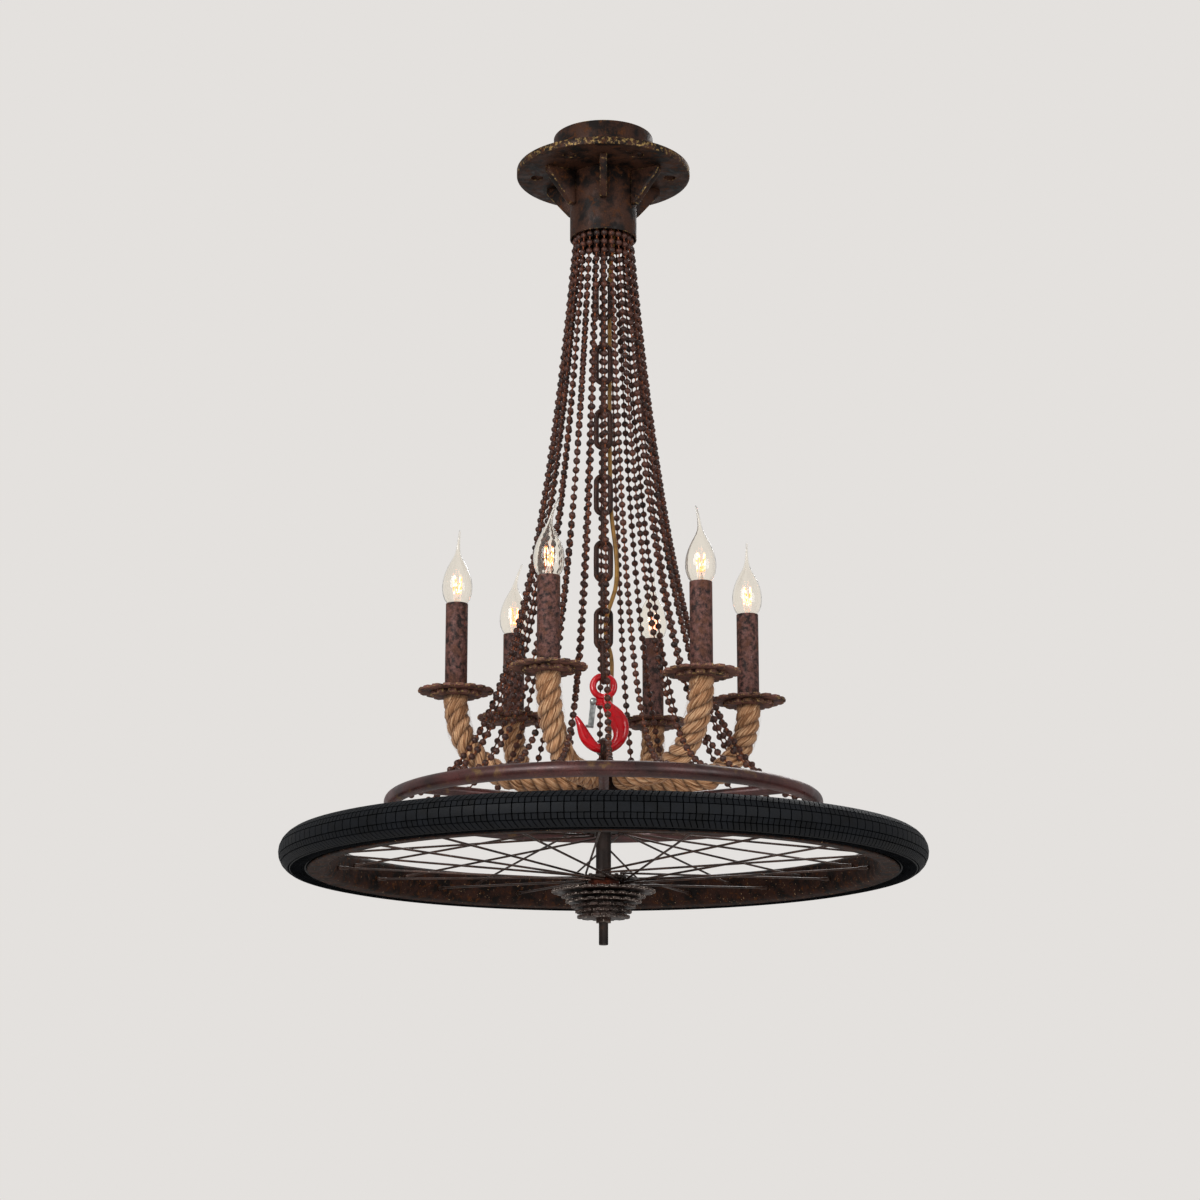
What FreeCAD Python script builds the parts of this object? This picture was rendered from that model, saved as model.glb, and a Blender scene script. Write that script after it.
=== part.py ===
"""Bicycle wheel pendant light: a spoked wheel, a hoop and six candle lamps hung on a chain.

The origin is on the ceiling, on the axis of the light, with +Z up. Sizes are in millimetres.
"""

import FreeCAD, Part
import math
import os
import re

import Sketcher

Vector = FreeCAD.Vector

# Driving sizes: millimetres, counts, and angles in degrees
SIZES = {
    # ceiling fixing
    "bracket_length": 90, "bracket_width": 24, "bracket_thick": 3,
    "screw_spacing": 70, "screw_hole": 5.2,
    "block_length": 20, "block_width": 16, "block_height": 12, "block_offset": 9,
    "nipple_dia": 10, "nipple_bore": 6, "nipple_inset": 0.5, "nipple_length": 66,
    "nut_flats": 17, "nut_height": 8, "thread_gap": 0.1,
    # canopy
    "cap_dia": 108, "cap_height": 36.6, "cap_wall": 1.5, "cap_edge": 5,
    "flange_dia": 188, "flange_thick": 8, "flange_hole": 13, "flange_hole_circle": 144,
    "neck_dia": 72, "neck_wall": 1.5, "neck_length": 72,
    "rib_count": 6, "rib_reach": 34, "rib_height": 38, "rib_thick": 8, "rib_foot": 6,
    "bead_ring_bore": 44, "bead_ring_thick": 3, "bead_ring_inset": 8,
    # chain
    "loop_socket_dia": 16, "loop_socket_length": 20, "loop_thread": 8,
    "loop_wire": 5, "loop_radius": 9, "loop_weld": 1,
    "link_wire": 5, "link_inner": 36.5, "link_width": 20, "link_gap": 0.3, "link_pairs": 7,
    # hook and latch
    "eye_wire": 7, "eye_radius": 11, "hook_thick": 9, "hook_bevel": 3,
    "bowl_radius": 27.5, "bowl_drop": 44, "gape_radius": 10.9, "hook_depth": 61,
    "tip_reach": 31, "tip_drop": 32, "tip_width": 4.6, "tip_length": 8,
    "neck_right": 6.5, "neck_left": 2.3, "neck_taper": 1.6, "neck_drop": 14,
    "pin_dia": 4, "pin_out": 10.5, "pin_drop": 16.5, "pin_gap": 0.05, "lug_thick": 5, "lug_dia": 8,
    "latch_length": 26.5, "latch_depth": 5.8, "latch_width": 9, "latch_wall": 1.5, "latch_slant": 6,
    "latch_head": 3.2, "latch_web_start": 7, "latch_gap": 0.4, "pin_head": 1,
    # post and arms
    "post_wire": 6.5, "post_eye_radius": 9.5, "post_dia": 10, "post_length": 23.85, "post_seat": 0.3,
    "post_depth": 11,
    "arm_hub_flats": 40, "arm_hub_height": 30, "axle_depth": 10,
    "strut_hub_flats": 32, "strut_hub_height": 17.4,
    "arm_count": 6, "arm_angle": 9.28, "arm_dia": 10, "arm_bend": 75,
    "arm_riser": 9.3, "arm_stub": 10, "rope_dia": 26, "rope_start": 9, "rope_gap": 0.1,
    # candles
    "roller_pitch": 12.7, "tooth_rise": 5, "tooth_depth": 5.5, "tooth_gap": 6.2, "tooth_floor": 3.6,
    "cup_teeth": 18, "cup_thick": 3, "under_teeth": 12, "under_thick": 4.5,
    "sleeve_dia": 23, "sleeve_wall": 1.3, "sleeve_length": 90.5,
    "holder_gap": 0.3, "holder_drop": 3, "cap_thread_dia": 13.8, "cap_thread_length": 24,
    "bulb_dia": 31.3, "bulb_belly": 20, "bulb_shoulder": 53, "bulb_height": 79.5,
    "bulb_neck": 12.8, "bulb_wall": 1, "bulb_tip": 1.6, "bulb_shoulder_dia": 6,
    "filament_dia": 2, "filament_length": 30,
    # hoop and bead strands
    "hoop_dia": 434, "hoop_tube": 16, "strut_dia": 10, "strut_gap": 0.2, "weld_gap": 0.05,
    "strand_count": 24, "strand_circle": 58.4, "bead_dia": 7, "strand_slope": 0.03, "strand_gap": 0.8,
    "strand_runs": 8, "strand_stop": 2, "strand_rise": 8, "strand_share": 0.48,
    # lamp cord
    "cord_dia": 4.5, "gland_dia": 9, "gland_nose": 6, "gland_height": 6,
    # axle and hub
    "wheel_drop": 77.7, "axle_dia": 9.5, "axle_tail": 89.4, "run_gap": 0.05, "end_gap": 0.3,
    "hub_barrel": 15.5, "hub_flange_dia": 47, "hub_flange_thick": 3.2,
    "hub_flange_up": 28, "hub_flange_down": 21.3, "hub_bore": 11, "hub_cup_dia": 28, "hub_top": 38,
    "boss_dia": 28, "bearing_dia": 22, "bearing_width": 7,
    "locknut_flats": 15, "tail_nut_height": 4,
    # rim, tyre and spokes
    "tyre_dia": 660, "tyre_width": 37, "tyre_seat": 0.2, "tread_width": 24, "tread_step": 1.6,
    "rim_outer_dia": 600, "rim_depth": 20, "rim_width": 33.6, "rim_wall": 2, "rim_edge": 4,
    "spoke_count": 36, "spoke_dia": 2, "spoke_lace": 60, "spoke_circle": 41, "spoke_spread": 4,
    "spoke_lift": 1.2, "spoke_seat": 0.2,
    # freewheel
    "teeth_first": 25, "teeth_second": 20, "teeth_third": 18,
    "teeth_fourth": 15, "teeth_fifth": 13, "teeth_last": 12,
    "spacer_dia": 31, "spacer_length": 9.1, "sprocket_lead": 1.6, "sprocket_tail": 0.5,
    "sprocket_thick": 2.2, "sprocket_step": 5.2,
    "freewheel_dia": 40, "freewheel_floor": 2.4, "floor_gap": 0.5, "collar_dia": 42.6,
}

doc = FreeCAD.newDocument("wheel_pendant")
sheet = doc.addObject("Spreadsheet::Sheet", "Sizes")
for row, (alias, number) in enumerate(SIZES.items(), start=1):
    sheet.set(f"A{row}", alias)
    sheet.set(f"B{row}", str(number))
    sheet.setAlias(f"B{row}", alias)
doc.recompute()

# Levels above the ceiling plane, all negative, each built on the piece it hangs from
FLANGE_TOP = "(-cap_height)"
FLANGE_UNDER = f"({FLANGE_TOP} - flange_thick)"
NECK_MOUTH = f"({FLANGE_UNDER} - neck_length)"
BEAD_RING = f"({NECK_MOUTH} + bead_ring_inset)"
NIPPLE_END = "(-nipple_inset - nipple_length)"
LOOP_FOOT = f"({NIPPLE_END} + loop_thread - loop_socket_length)"
LOOP_CENTRE = f"({LOOP_FOOT} - loop_weld - loop_radius)"
LOOP_WIRE = f"({LOOP_CENTRE} - loop_radius)"
LINK_STEP = "(link_inner - link_gap)"
TOP_LINK = f"({LOOP_WIRE} + (loop_wire + link_wire) / 2 + link_gap - (link_inner + link_wire) / 2)"
SECOND_LINK = f"({TOP_LINK} - {LINK_STEP})"
LAST_LINK = f"({TOP_LINK} - (2 * link_pairs - 1) * {LINK_STEP})"
HOOK_EYE = f"({LAST_LINK} - link_inner / 2 + eye_wire / 2 + link_gap - eye_radius)"
BOWL = f"({HOOK_EYE} - hook_depth)"
POST_EYE = f"({BOWL} + post_seat + post_wire / 2 - post_eye_radius)"
ARM = f"({POST_EYE} - post_eye_radius - post_length)"
HOOP = f"({ARM} - arm_hub_height / 2 - strut_hub_height / 2)"
WHEEL = f"({ARM} - wheel_drop)"

# Heights over the arm level, at a candle
CUP_UNDER = "(arm_bend + arm_riser)"
CUP_TOP = f"({CUP_UNDER} + under_thick + cup_thick)"
SLEEVE_TOP = f"({CUP_TOP} + sleeve_length)"

# Radius of the candles: their cups stand clear of the strands, which at that height are part way out
STRAND_END = "(hoop_dia / 2 - hoop_tube / 2 - strand_stop)"
CUP_REACH = "(roller_pitch / sin(180 / cup_teeth) / 2 + tooth_rise / 2)"
CANDLE = f"(strand_circle / 2 + strand_share * ({STRAND_END} - strand_circle / 2) + {CUP_REACH})"


def value(text):
    """Return the number that an expression on the sheet stands for."""
    return float(sheet.evalExpression(text))


def named(text):
    """Return the expression with each size's name led by the sheet's."""
    return re.sub(r"[a-z_]+", lambda word: f"Sizes.{word[0]}" if word[0] in SIZES else word[0], text)


def bind(item, **sizes):
    """Tie properties of a document object to expressions on the sheet."""
    for name, text in sizes.items():
        item.setExpression(name, named(text))


def origin_part(body, role):
    """Return one of a body's own origin planes or axes."""
    return next(part for part in body.Origin.OriginFeatures if part.Role == role)


def new_body(label, level="0", turn="0"):
    """Start a body at a level on the axis, turned about the axis."""
    body = doc.addObject("PartDesign::Body", label)
    body.Label = label
    body.Placement = FreeCAD.Placement(Vector(0, 0, 1), FreeCAD.Rotation(Vector(0, 0, 1), 1))
    body.setExpression("Placement.Base.z", named(level))
    body.setExpression("Placement.Rotation.Angle", named(turn))
    return body


def new_sketch(body, plane, lift="0"):
    """Start a sketch on one of a body's origin planes, lifted off it along its normal."""
    sketch = body.newObject("Sketcher::SketchObject", f"{body.Label}_sketch")
    sketch.AttachmentSupport = (origin_part(body, plane), [""])
    sketch.MapMode = "FlatFace"
    sketch.setExpression("AttachmentOffset.Base.z", named(lift))
    return sketch


def tie(sketch, rows):
    """Add constraints to a sketch, each row with its geometry and the expression that sets it."""
    rules = [Sketcher.Constraint(kind, *where, value(text)) if text else Sketcher.Constraint(kind, *where)
             for kind, where, text in rows]
    for index, (kind, where, text) in zip(sketch.addConstraint(rules), rows):
        if text:
            sketch.setExpression(f"Constraints[{index}]", named(text))


def pinned(edge, end, place):
    """Return the rows that hold one point of a sketch at a place given by two expressions."""
    return [(kind, (-1, 1, edge, end), text) for kind, text in zip(("DistanceX", "DistanceY"), place)]


def arc_between(start, end, radius, turn, large):
    """Return the arc from start to end, turning left (1) or right (-1), long way round if large."""
    chord = end - start
    left = Vector(-chord.y, chord.x, 0).normalize()
    height = math.sqrt(max(radius ** 2 - chord.Length ** 2 / 4, 0))
    centre = (start + end) / 2 + left * height * turn * (-1 if large else 1)
    first, last = (start, end) if turn > 0 else (end, start)
    angles = [math.atan2(p.y - centre.y, p.x - centre.x) for p in (first, last)]
    return Part.ArcOfCircle(Part.Circle(centre, Vector(0, 0, 1), radius), *angles)


def outline(sketch, corners, bends=None, closed=True):
    """Draw runs through corners tied to the sheet. A bend gives a run's radius, turn and largeness."""
    bends = bends or {}
    spots = [Vector(value(x), value(y), 0) for x, y in corners]
    base = sketch.GeometryCount
    rows = []
    ends = []
    for i in range(len(spots) if closed else len(spots) - 1):
        first, last = spots[i], spots[(i + 1) % len(spots)]
        if i in bends:
            radius, turn, large = bends[i]
            edge = sketch.addGeometry(arc_between(first, last, value(radius), turn, large))
            rows.append(("Radius", (edge,), radius))
            ends.append((1, 2) if turn > 0 else (2, 1))
        else:
            sketch.addGeometry(Part.LineSegment(first, last))
            ends.append((1, 2))
    count = len(ends)
    for i in range(count if closed else count - 1):
        after = (i + 1) % count
        rows.append(("Coincident", (base + i, ends[i][1], base + after, ends[after][0]), None))
    for i, place in enumerate(corners[:count]):
        rows.extend(pinned(base + i, ends[i][0], place))
    if not closed:
        rows.extend(pinned(base + count - 1, ends[-1][1], corners[-1]))
    tie(sketch, rows)


def circle(sketch, dia, x="0", y="0"):
    """Draw a circle of a diameter and centre tied to the sheet."""
    place = Vector(value(x), value(y), 0)
    edge = sketch.addGeometry(Part.Circle(place, Vector(0, 0, 1), value(dia) / 2))
    tie(sketch, pinned(edge, 3, (x, y)) + [("Diameter", (edge,), dia)])


def polygon_corners(sides, flats, x="0", y="0", turn=0):
    """Return the corners of a regular polygon of a width across its flats, one flat facing turn degrees."""
    reach = f"({flats}) / 2 / cos({180 / sides})"
    angles = [turn + (i + 0.5) * 360 / sides for i in range(sides)]
    return [(f"{x} + {reach} * cos({angle})", f"{y} + {reach} * sin({angle})") for angle in angles]


def polygon(sketch, sides, flats, x="0", y="0", turn=0):
    """Draw a regular polygon of a width across its flats."""
    outline(sketch, polygon_corners(sides, flats, x, y, turn))


def pad(body, sketch, length, both=False, down=False):
    """Pad a sketch by a length, to both sides or against its normal."""
    feature = body.newObject("PartDesign::Pad", f"{body.Label}_pad")
    feature.Profile = sketch
    feature.SideType = "Symmetric" if both else "One side"
    feature.Reversed = down
    bind(feature, Length=length)
    return feature


def pocket(body, sketch, length, both=False, up=False):
    """Cut a sketch into a body by a length, against its normal or along it."""
    feature = body.newObject("PartDesign::Pocket", f"{body.Label}_pocket")
    feature.Profile = sketch
    feature.SideType = "Symmetric" if both else "One side"
    feature.Reversed = up
    bind(feature, Length=length)
    return feature


def revolve(body, corners, bends=None, axis="0"):
    """Turn a closed profile of radius and height about a vertical axis that stands out along X."""
    sketch = new_sketch(body, "XZ_Plane")
    outline(sketch, corners, bends)
    place = Vector(value(axis), 0, 0)
    line = sketch.addGeometry(Part.LineSegment(place, place + Vector(0, 1, 0)), True)
    tie(sketch, pinned(line, 1, (axis, "0")) + pinned(line, 2, (axis, "1")))
    feature = body.newObject("PartDesign::Revolution", f"{body.Label}_turned")
    feature.Profile = sketch
    feature.ReferenceAxis = (sketch, ["Axis0"])
    return feature


def sweep(body, section, spine):
    """Carry a section along a line, with square corners where the line has them."""
    feature = body.newObject("PartDesign::AdditivePipe", f"{body.Label}_swept")
    feature.Profile = section
    feature.Spine = spine
    feature.Transition = "Right corner"
    return feature


def around(body, features, count):
    """Repeat one or more features evenly about the axis of the light."""
    pattern = body.newObject("PartDesign::PolarPattern", f"{body.Label}_around")
    pattern.Originals = features
    pattern.Axis = (origin_part(body, "Z_Axis"), [""])
    pattern.Angle = 360
    bind(pattern, Occurrences=count)
    body.Tip = pattern


def ring_prism(label, level, outer, inner, height, flats=0, turn="0"):
    """Make a round or many-sided bar that stands on a level, with a bore if one is given."""
    body = new_body(label, level, turn)
    sketch = new_sketch(body, "XY_Plane")
    if flats:
        polygon(sketch, flats, outer)
    else:
        circle(sketch, outer)
    if inner:
        circle(sketch, inner)
    pad(body, sketch, height)


def ring_bar(body, plane, radius, wire, drop="0"):
    """Add a closed ring of eight-sided bar, upright in a plane, its centre dropped below the origin."""
    sketch = new_sketch(body, {"YZ_Plane": "XZ_Plane", "XZ_Plane": "YZ_Plane"}[plane])
    polygon(sketch, 8, wire, y=f"{radius} - ({drop})")
    line = sketch.addGeometry(Part.LineSegment(Vector(0, 0, 0), Vector(1, 0, 0)), True)
    tie(sketch, pinned(line, 1, ("0", f"-({drop})")) + pinned(line, 2, ("1", f"-({drop})")))
    feature = body.newObject("PartDesign::Revolution", f"{body.Label}_ring")
    feature.Profile = sketch
    feature.ReferenceAxis = (sketch, ["Axis0"])


# Ceiling bracket, terminal block and threaded nipple
bracket = new_body("ceiling_bracket")
bracket_plan = new_sketch(bracket, "XY_Plane")
outline(bracket_plan, [(f"{x} * bracket_length / 2", f"{y} * bracket_width / 2")
                       for x, y in ((-1, -1), (1, -1), (1, 1), (-1, 1))])
for side in (-1, 1):
    circle(bracket_plan, "screw_hole", f"{side} * screw_spacing / 2")
circle(bracket_plan, "nipple_dia + 2 * thread_gap")
pad(bracket, bracket_plan, "bracket_thick", down=True)

block = new_body("terminal_block", "-bracket_thick")
block_plan = new_sketch(block, "XY_Plane")
outline(block_plan, [(f"block_offset + {x} * block_length", f"{y} * block_width / 2")
                     for x, y in ((0, -1), (1, -1), (1, 1), (0, 1))])
pad(block, block_plan, "block_height", down=True)

ring_prism("threaded_nipple", NIPPLE_END, "nipple_dia", "nipple_bore", "nipple_length")

# Canopy: cap, flange plate, neck tube, gusset ribs, nut and bead ring
BORE = "nipple_dia / 2 + thread_gap"
cap = new_body("canopy_cap", FLANGE_TOP)
revolve(cap, [(BORE, "0"), ("cap_dia / 2 - cap_edge", "0"), ("cap_dia / 2", "cap_edge"),
              ("cap_dia / 2", "cap_height"), ("cap_dia / 2 - cap_wall", "cap_height"),
              ("cap_dia / 2 - cap_wall", "cap_edge"), ("cap_dia / 2 - cap_edge", "cap_wall"),
              (BORE, "cap_wall")])

flange = new_body("flange_plate", FLANGE_UNDER)
flange_plan = new_sketch(flange, "XY_Plane")
circle(flange_plan, "flange_dia")
circle(flange_plan, f"2 * ({BORE})")
pad(flange, flange_plan, "flange_thick")
flange_hole = new_sketch(flange, "XY_Plane")
circle(flange_hole, "flange_hole", "flange_hole_circle / 2")
around(flange, [pocket(flange, flange_hole, "flange_thick", up=True)], "rib_count")

ring_prism("neck_tube", NECK_MOUTH, "neck_dia", "neck_dia - 2 * neck_wall", "neck_length")

ribs = new_body("gusset_ribs", FLANGE_UNDER, "-90")
rib_side = new_sketch(ribs, "XZ_Plane")
outline(rib_side, [("neck_dia / 2", "0"), ("neck_dia / 2", "-rib_height"),
                   ("neck_dia / 2 + rib_foot", "-rib_height"),
                   ("neck_dia / 2 + rib_reach", "-rib_foot"), ("neck_dia / 2 + rib_reach", "0")])
around(ribs, [pad(ribs, rib_side, "rib_thick", both=True)], "rib_count")

ring_prism("flange_nut", f"{FLANGE_UNDER} - nut_height", "nut_flats", f"2 * ({BORE})", "nut_height", 6)
ring_prism("bead_ring", BEAD_RING, "neck_dia - 2 * neck_wall - 2 * weld_gap", "bead_ring_bore",
           "bead_ring_thick")

# Chain loop that screws onto the nipple
loop = new_body("chain_loop", LOOP_FOOT)
revolve(loop, [("0", "0"), ("loop_socket_dia / 2", "0"), ("loop_socket_dia / 2", "loop_socket_length"),
               (BORE, "loop_socket_length"), (BORE, "loop_socket_length - loop_thread"),
               ("0", "loop_socket_length - loop_thread")])
ring_bar(loop, "YZ_Plane", "loop_radius", "loop_wire", "loop_weld + loop_radius")


def chain(label, level, plane, count):
    """Make long links one under another, all lying in the same plane, each link of one bent wire."""
    body = new_body(label, level)
    side = "((link_width - link_wire) / 2)"
    rise = f"((link_inner + link_wire) / 2 - {side})"
    reach = f"{side} / cos(22.5)"
    corners = []
    for i in range(8):
        angle = 22.5 + 45 * i
        middle = rise if i < 4 else f"-{rise}"
        corners.append((f"{reach} * cos({angle})", f"{middle} + {reach} * sin({angle})"))
    spine = new_sketch(body, plane)
    outline(spine, corners)
    section = new_sketch(body, "XY_Plane")
    if plane == "XZ_Plane":
        polygon(section, 6, "link_wire", x=side)
    else:
        polygon(section, 6, "link_wire", y=side, turn=90)
    link = sweep(body, section, spine)
    if count == "1":
        return
    below = body.newObject("PartDesign::LinearPattern", f"{label}_row")
    below.Originals = [link]
    below.Direction = (origin_part(body, "Z_Axis"), [""])
    below.Reversed = True
    below.Mode = "Spacing"
    bind(below, Offset=f"2 * {LINK_STEP}", Occurrences=count)
    body.Tip = below


chain("top_link", TOP_LINK, "XZ_Plane", "1")
chain("chain_links_side", SECOND_LINK, "YZ_Plane", "link_pairs")
chain("chain_links_front", f"{SECOND_LINK} - {LINK_STEP}", "XZ_Plane", "link_pairs - 1")

# Hook: a forged crescent under an eye, with a lug for the latch pin
hook = new_body("hook", HOOK_EYE)
hook_side = new_sketch(hook, "XZ_Plane")
BOWL_START = ("neck_right", "-bowl_drop + sqrt(bowl_radius ^ 2 - neck_right ^ 2)")
BOWL_END = ("-sqrt(bowl_radius ^ 2 - (bowl_drop - tip_drop - tip_length) ^ 2)", "-tip_drop - tip_length")
GAPE_LEFT = ("-gape_radius * cos(25)", "gape_radius - hook_depth - gape_radius * sin(25)")
GAPE_RIGHT = ("gape_radius", "gape_radius - hook_depth")
POINT = ("-tip_reach + tip_width", "-tip_drop + tip_width / 2")
outline(hook_side, [("neck_right", "-eye_radius"), BOWL_START, BOWL_END, ("-tip_reach", "-tip_drop"),
                    POINT, GAPE_LEFT, GAPE_RIGHT,
                    ("-neck_left + neck_taper", "-eye_radius - neck_drop"), ("-neck_left", "-eye_radius")],
        {1: ("bowl_radius", -1, True), 5: ("gape_radius", 1, False)})
forging = pad(hook, hook_side, "hook_thick", both=True)
doc.recompute()
bowl_edges = [f"Edge{i}" for i, edge in enumerate(forging.Shape.Edges, start=1)
              if edge.Curve.TypeId == "Part::GeomCircle"]
bevels = hook.newObject("PartDesign::Chamfer", "hook_bevels")
bevels.Base = (forging, bowl_edges)
bind(bevels, Size="hook_bevel")
ring_bar(hook, "XZ_Plane", "eye_radius", "eye_wire")
PIN = ("-pin_out", "-pin_drop")
lug_round = new_sketch(hook, "XZ_Plane")
circle(lug_round, "lug_dia", *PIN)
pad(hook, lug_round, "lug_thick", both=True)
lug_web = new_sketch(hook, "XZ_Plane")
outline(lug_web, [(x, f"-pin_drop + {y} * lug_dia / 2")
                  for x, y in (("-pin_out", -1), ("0", -1), ("0", 1), ("-pin_out", 1))])
pad(hook, lug_web, "lug_thick", both=True)
pin_hole = new_sketch(hook, "XZ_Plane")
circle(pin_hole, "pin_dia + 2 * pin_gap", *PIN)
pocket(hook, pin_hole, "hook_thick", both=True)

pin = new_body("latch_pin", HOOK_EYE)
pin_end = new_sketch(pin, "XZ_Plane")
circle(pin_end, "pin_dia", *PIN)
pad(pin, pin_end, "latch_width + 2 * pin_head", both=True)

# Latch: a folded channel on the pin, its lip behind the hook's point
latch = new_body("hook_latch", HOOK_EYE)


def on_latch(left, down):
    """Return a place given by its way left of the pin and down along the latch."""
    return (f"-pin_out - ({left}) * cos(latch_slant) - ({down}) * sin(latch_slant)",
            f"-pin_drop + ({left}) * sin(latch_slant) - ({down}) * cos(latch_slant)")


def beside_point(height):
    """Return the place at a height that is clear of the inner line from the hook's point to its bowl."""
    slope = f"(({GAPE_LEFT[0]}) - ({POINT[0]})) / (({GAPE_LEFT[1]}) - ({POINT[1]}))"
    return (f"{POINT[0]} + ({height} - ({POINT[1]})) * {slope} + latch_gap", height)


HALF = "latch_depth / 2"
latch_side = new_sketch(latch, "XZ_Plane")
outline(latch_side, [on_latch(HALF, "-latch_head"), on_latch(HALF, "latch_length - latch_wall"),
                     beside_point(on_latch(HALF, "latch_length - latch_wall")[1]),
                     beside_point(on_latch(HALF, "latch_length")[1]),
                     on_latch(f"-{HALF}", "latch_length"), on_latch(f"-{HALF}", "-latch_head")])
pad(latch, latch_side, "latch_width", both=True)
latch_fold = new_sketch(latch, "XZ_Plane")
WEB = f"{HALF} - latch_wall"
outline(latch_fold, [on_latch(f"{HALF} + 1", "-latch_head - 1"), on_latch(f"{HALF} + 1", "latch_web_start"),
                     on_latch(WEB, "latch_web_start"), on_latch(WEB, "latch_length - latch_wall"),
                     on_latch(f"-{HALF} - 1", "latch_length - latch_wall"),
                     on_latch(f"-{HALF} - 1", "-latch_head - 1")])
pocket(latch, latch_fold, "latch_width - 2 * latch_wall", both=True)
latch_hole = new_sketch(latch, "XZ_Plane")
circle(latch_hole, "pin_dia + 2 * pin_gap", *PIN)
pocket(latch, latch_hole, "2 * latch_width", both=True)

# Eye bolt that hangs in the hook, and the two hubs under it
post = new_body("post_eye", POST_EYE)
POST_FOOT = "-post_eye_radius - post_length + arm_hub_height / 2 - post_depth"
revolve(post, [("0", "-post_eye_radius"), ("0", POST_FOOT), ("post_dia / 2", POST_FOOT),
               ("post_dia / 2", "-post_eye_radius")])
ring_bar(post, "YZ_Plane", "post_eye_radius", "post_wire")

arm_hub = new_body("arm_hub", f"{ARM} - arm_hub_height / 2", "arm_angle")
arm_hub_plan = new_sketch(arm_hub, "XY_Plane")
polygon(arm_hub_plan, 6, "arm_hub_flats")
pad(arm_hub, arm_hub_plan, "arm_hub_height")
axle_seat = new_sketch(arm_hub, "XY_Plane")
circle(axle_seat, "axle_dia + 2 * thread_gap")
pocket(arm_hub, axle_seat, "axle_depth", up=True)
post_seat = new_sketch(arm_hub, "XY_Plane", "arm_hub_height")
circle(post_seat, "post_dia + 2 * thread_gap")
pocket(arm_hub, post_seat, "post_depth")

STRUT_HUB = f"{ARM} - arm_hub_height / 2 - strut_hub_height"
ring_prism("strut_hub", STRUT_HUB, "strut_hub_flats", "axle_dia + 2 * thread_gap", "strut_hub_height",
           6, "-90")


# Arms: a bent tube each, wound with rope
def arm_pipe(label, sides, outer, start, top, inner=None):
    """Make bent lengths that leave the hub level and rise to a height under each candle."""
    body = new_body(label, ARM, "arm_angle")
    spine = new_sketch(body, "XZ_Plane")
    outline(spine, [(start, "0"), (f"{CANDLE} - arm_bend", "0"), (CANDLE, "arm_bend"), (CANDLE, top)],
            {1: ("arm_bend", 1, False)}, closed=False)
    section = new_sketch(body, "YZ_Plane", start)
    polygon(section, sides, outer)
    if inner:
        polygon(section, 6, inner)
    around(body, [sweep(body, section, spine)], "arm_count")


arm_pipe("arm_tubes", 6, "arm_dia", "arm_hub_flats / 2", f"{CUP_TOP} + arm_stub")
arm_pipe("rope_sleeves", 8, "rope_dia", "arm_hub_flats / 2 + rope_start", CUP_UNDER,
         "arm_dia + 2 * rope_gap")


# Candles: two toothed discs, sleeve, lamp holder and bulb, repeated on the arms
def toothed(sketch, teeth, x="0", pointed=False):
    """Draw the outline of a chain sprocket, its tooth gaps sloping to a floor or to a point."""
    tip = f"(roller_pitch / sin(180 / {teeth}) / 2 + tooth_rise / 2)"
    across = f"sqrt({tip} ^ 2 - tooth_gap ^ 2 / 4)"
    floor = f"({tip} - tooth_depth)"
    corners = []
    for i in range(int(value(teeth))):
        turn = f"(360 * {i} / {teeth})"
        low = [(floor, "0")] if pointed else [(floor, "-tooth_floor / 2"), (floor, "tooth_floor / 2")]
        for reach, width in [(across, "-tooth_gap / 2")] + low + [(across, "tooth_gap / 2")]:
            corners.append((f"{x} + {reach} * cos({turn}) - ({width}) * sin({turn})",
                            f"{reach} * sin({turn}) + ({width}) * cos({turn})"))
    outline(sketch, corners)


def on_candles(label, foot):
    """Start a body on the arms, and its plan at a height over them."""
    body = new_body(label, ARM, "arm_angle")
    return body, new_sketch(body, "XY_Plane", foot)


for label, teeth, foot, thick in (("under_cups", "under_teeth", CUP_UNDER, "under_thick"),
                                  ("cups", "cup_teeth", f"{CUP_UNDER} + under_thick", "cup_thick")):
    cup, cup_plan = on_candles(label, foot)
    toothed(cup_plan, teeth, CANDLE, pointed=True)
    polygon(cup_plan, 6, "arm_dia + 2 * thread_gap", CANDLE, turn=90)
    around(cup, [pad(cup, cup_plan, thick)], "arm_count")

sleeve, sleeve_plan = on_candles("candle_sleeves", CUP_TOP)
circle(sleeve_plan, "sleeve_dia", CANDLE)
circle(sleeve_plan, "sleeve_dia - 2 * sleeve_wall", CANDLE)
around(sleeve, [pad(sleeve, sleeve_plan, "sleeve_length")], "arm_count")

HOLDER_TOP = f"({SLEEVE_TOP} - holder_drop)"
CAP_FOOT = f"({HOLDER_TOP} - cap_thread_length)"

holder, holder_plan = on_candles("lamp_holders", f"{CUP_TOP} + arm_stub")
polygon(holder_plan, 12, "(sleeve_dia - 2 * sleeve_wall) * cos(15) - 2 * holder_gap", CANDLE)
holder_bar = pad(holder, holder_plan, f"{HOLDER_TOP} - {CUP_TOP} - arm_stub")
recess = new_sketch(holder, "XY_Plane", HOLDER_TOP)
polygon(recess, 12, "cap_thread_dia + 2 * thread_gap", CANDLE)
around(holder, [holder_bar, pocket(holder, recess, "cap_thread_length")], "arm_count")

bulb_cap, bulb_cap_plan = on_candles("bulb_caps", CAP_FOOT)
polygon(bulb_cap_plan, 12, "cap_thread_dia", CANDLE)
around(bulb_cap, [pad(bulb_cap, bulb_cap_plan, "cap_thread_length")], "arm_count")


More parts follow.
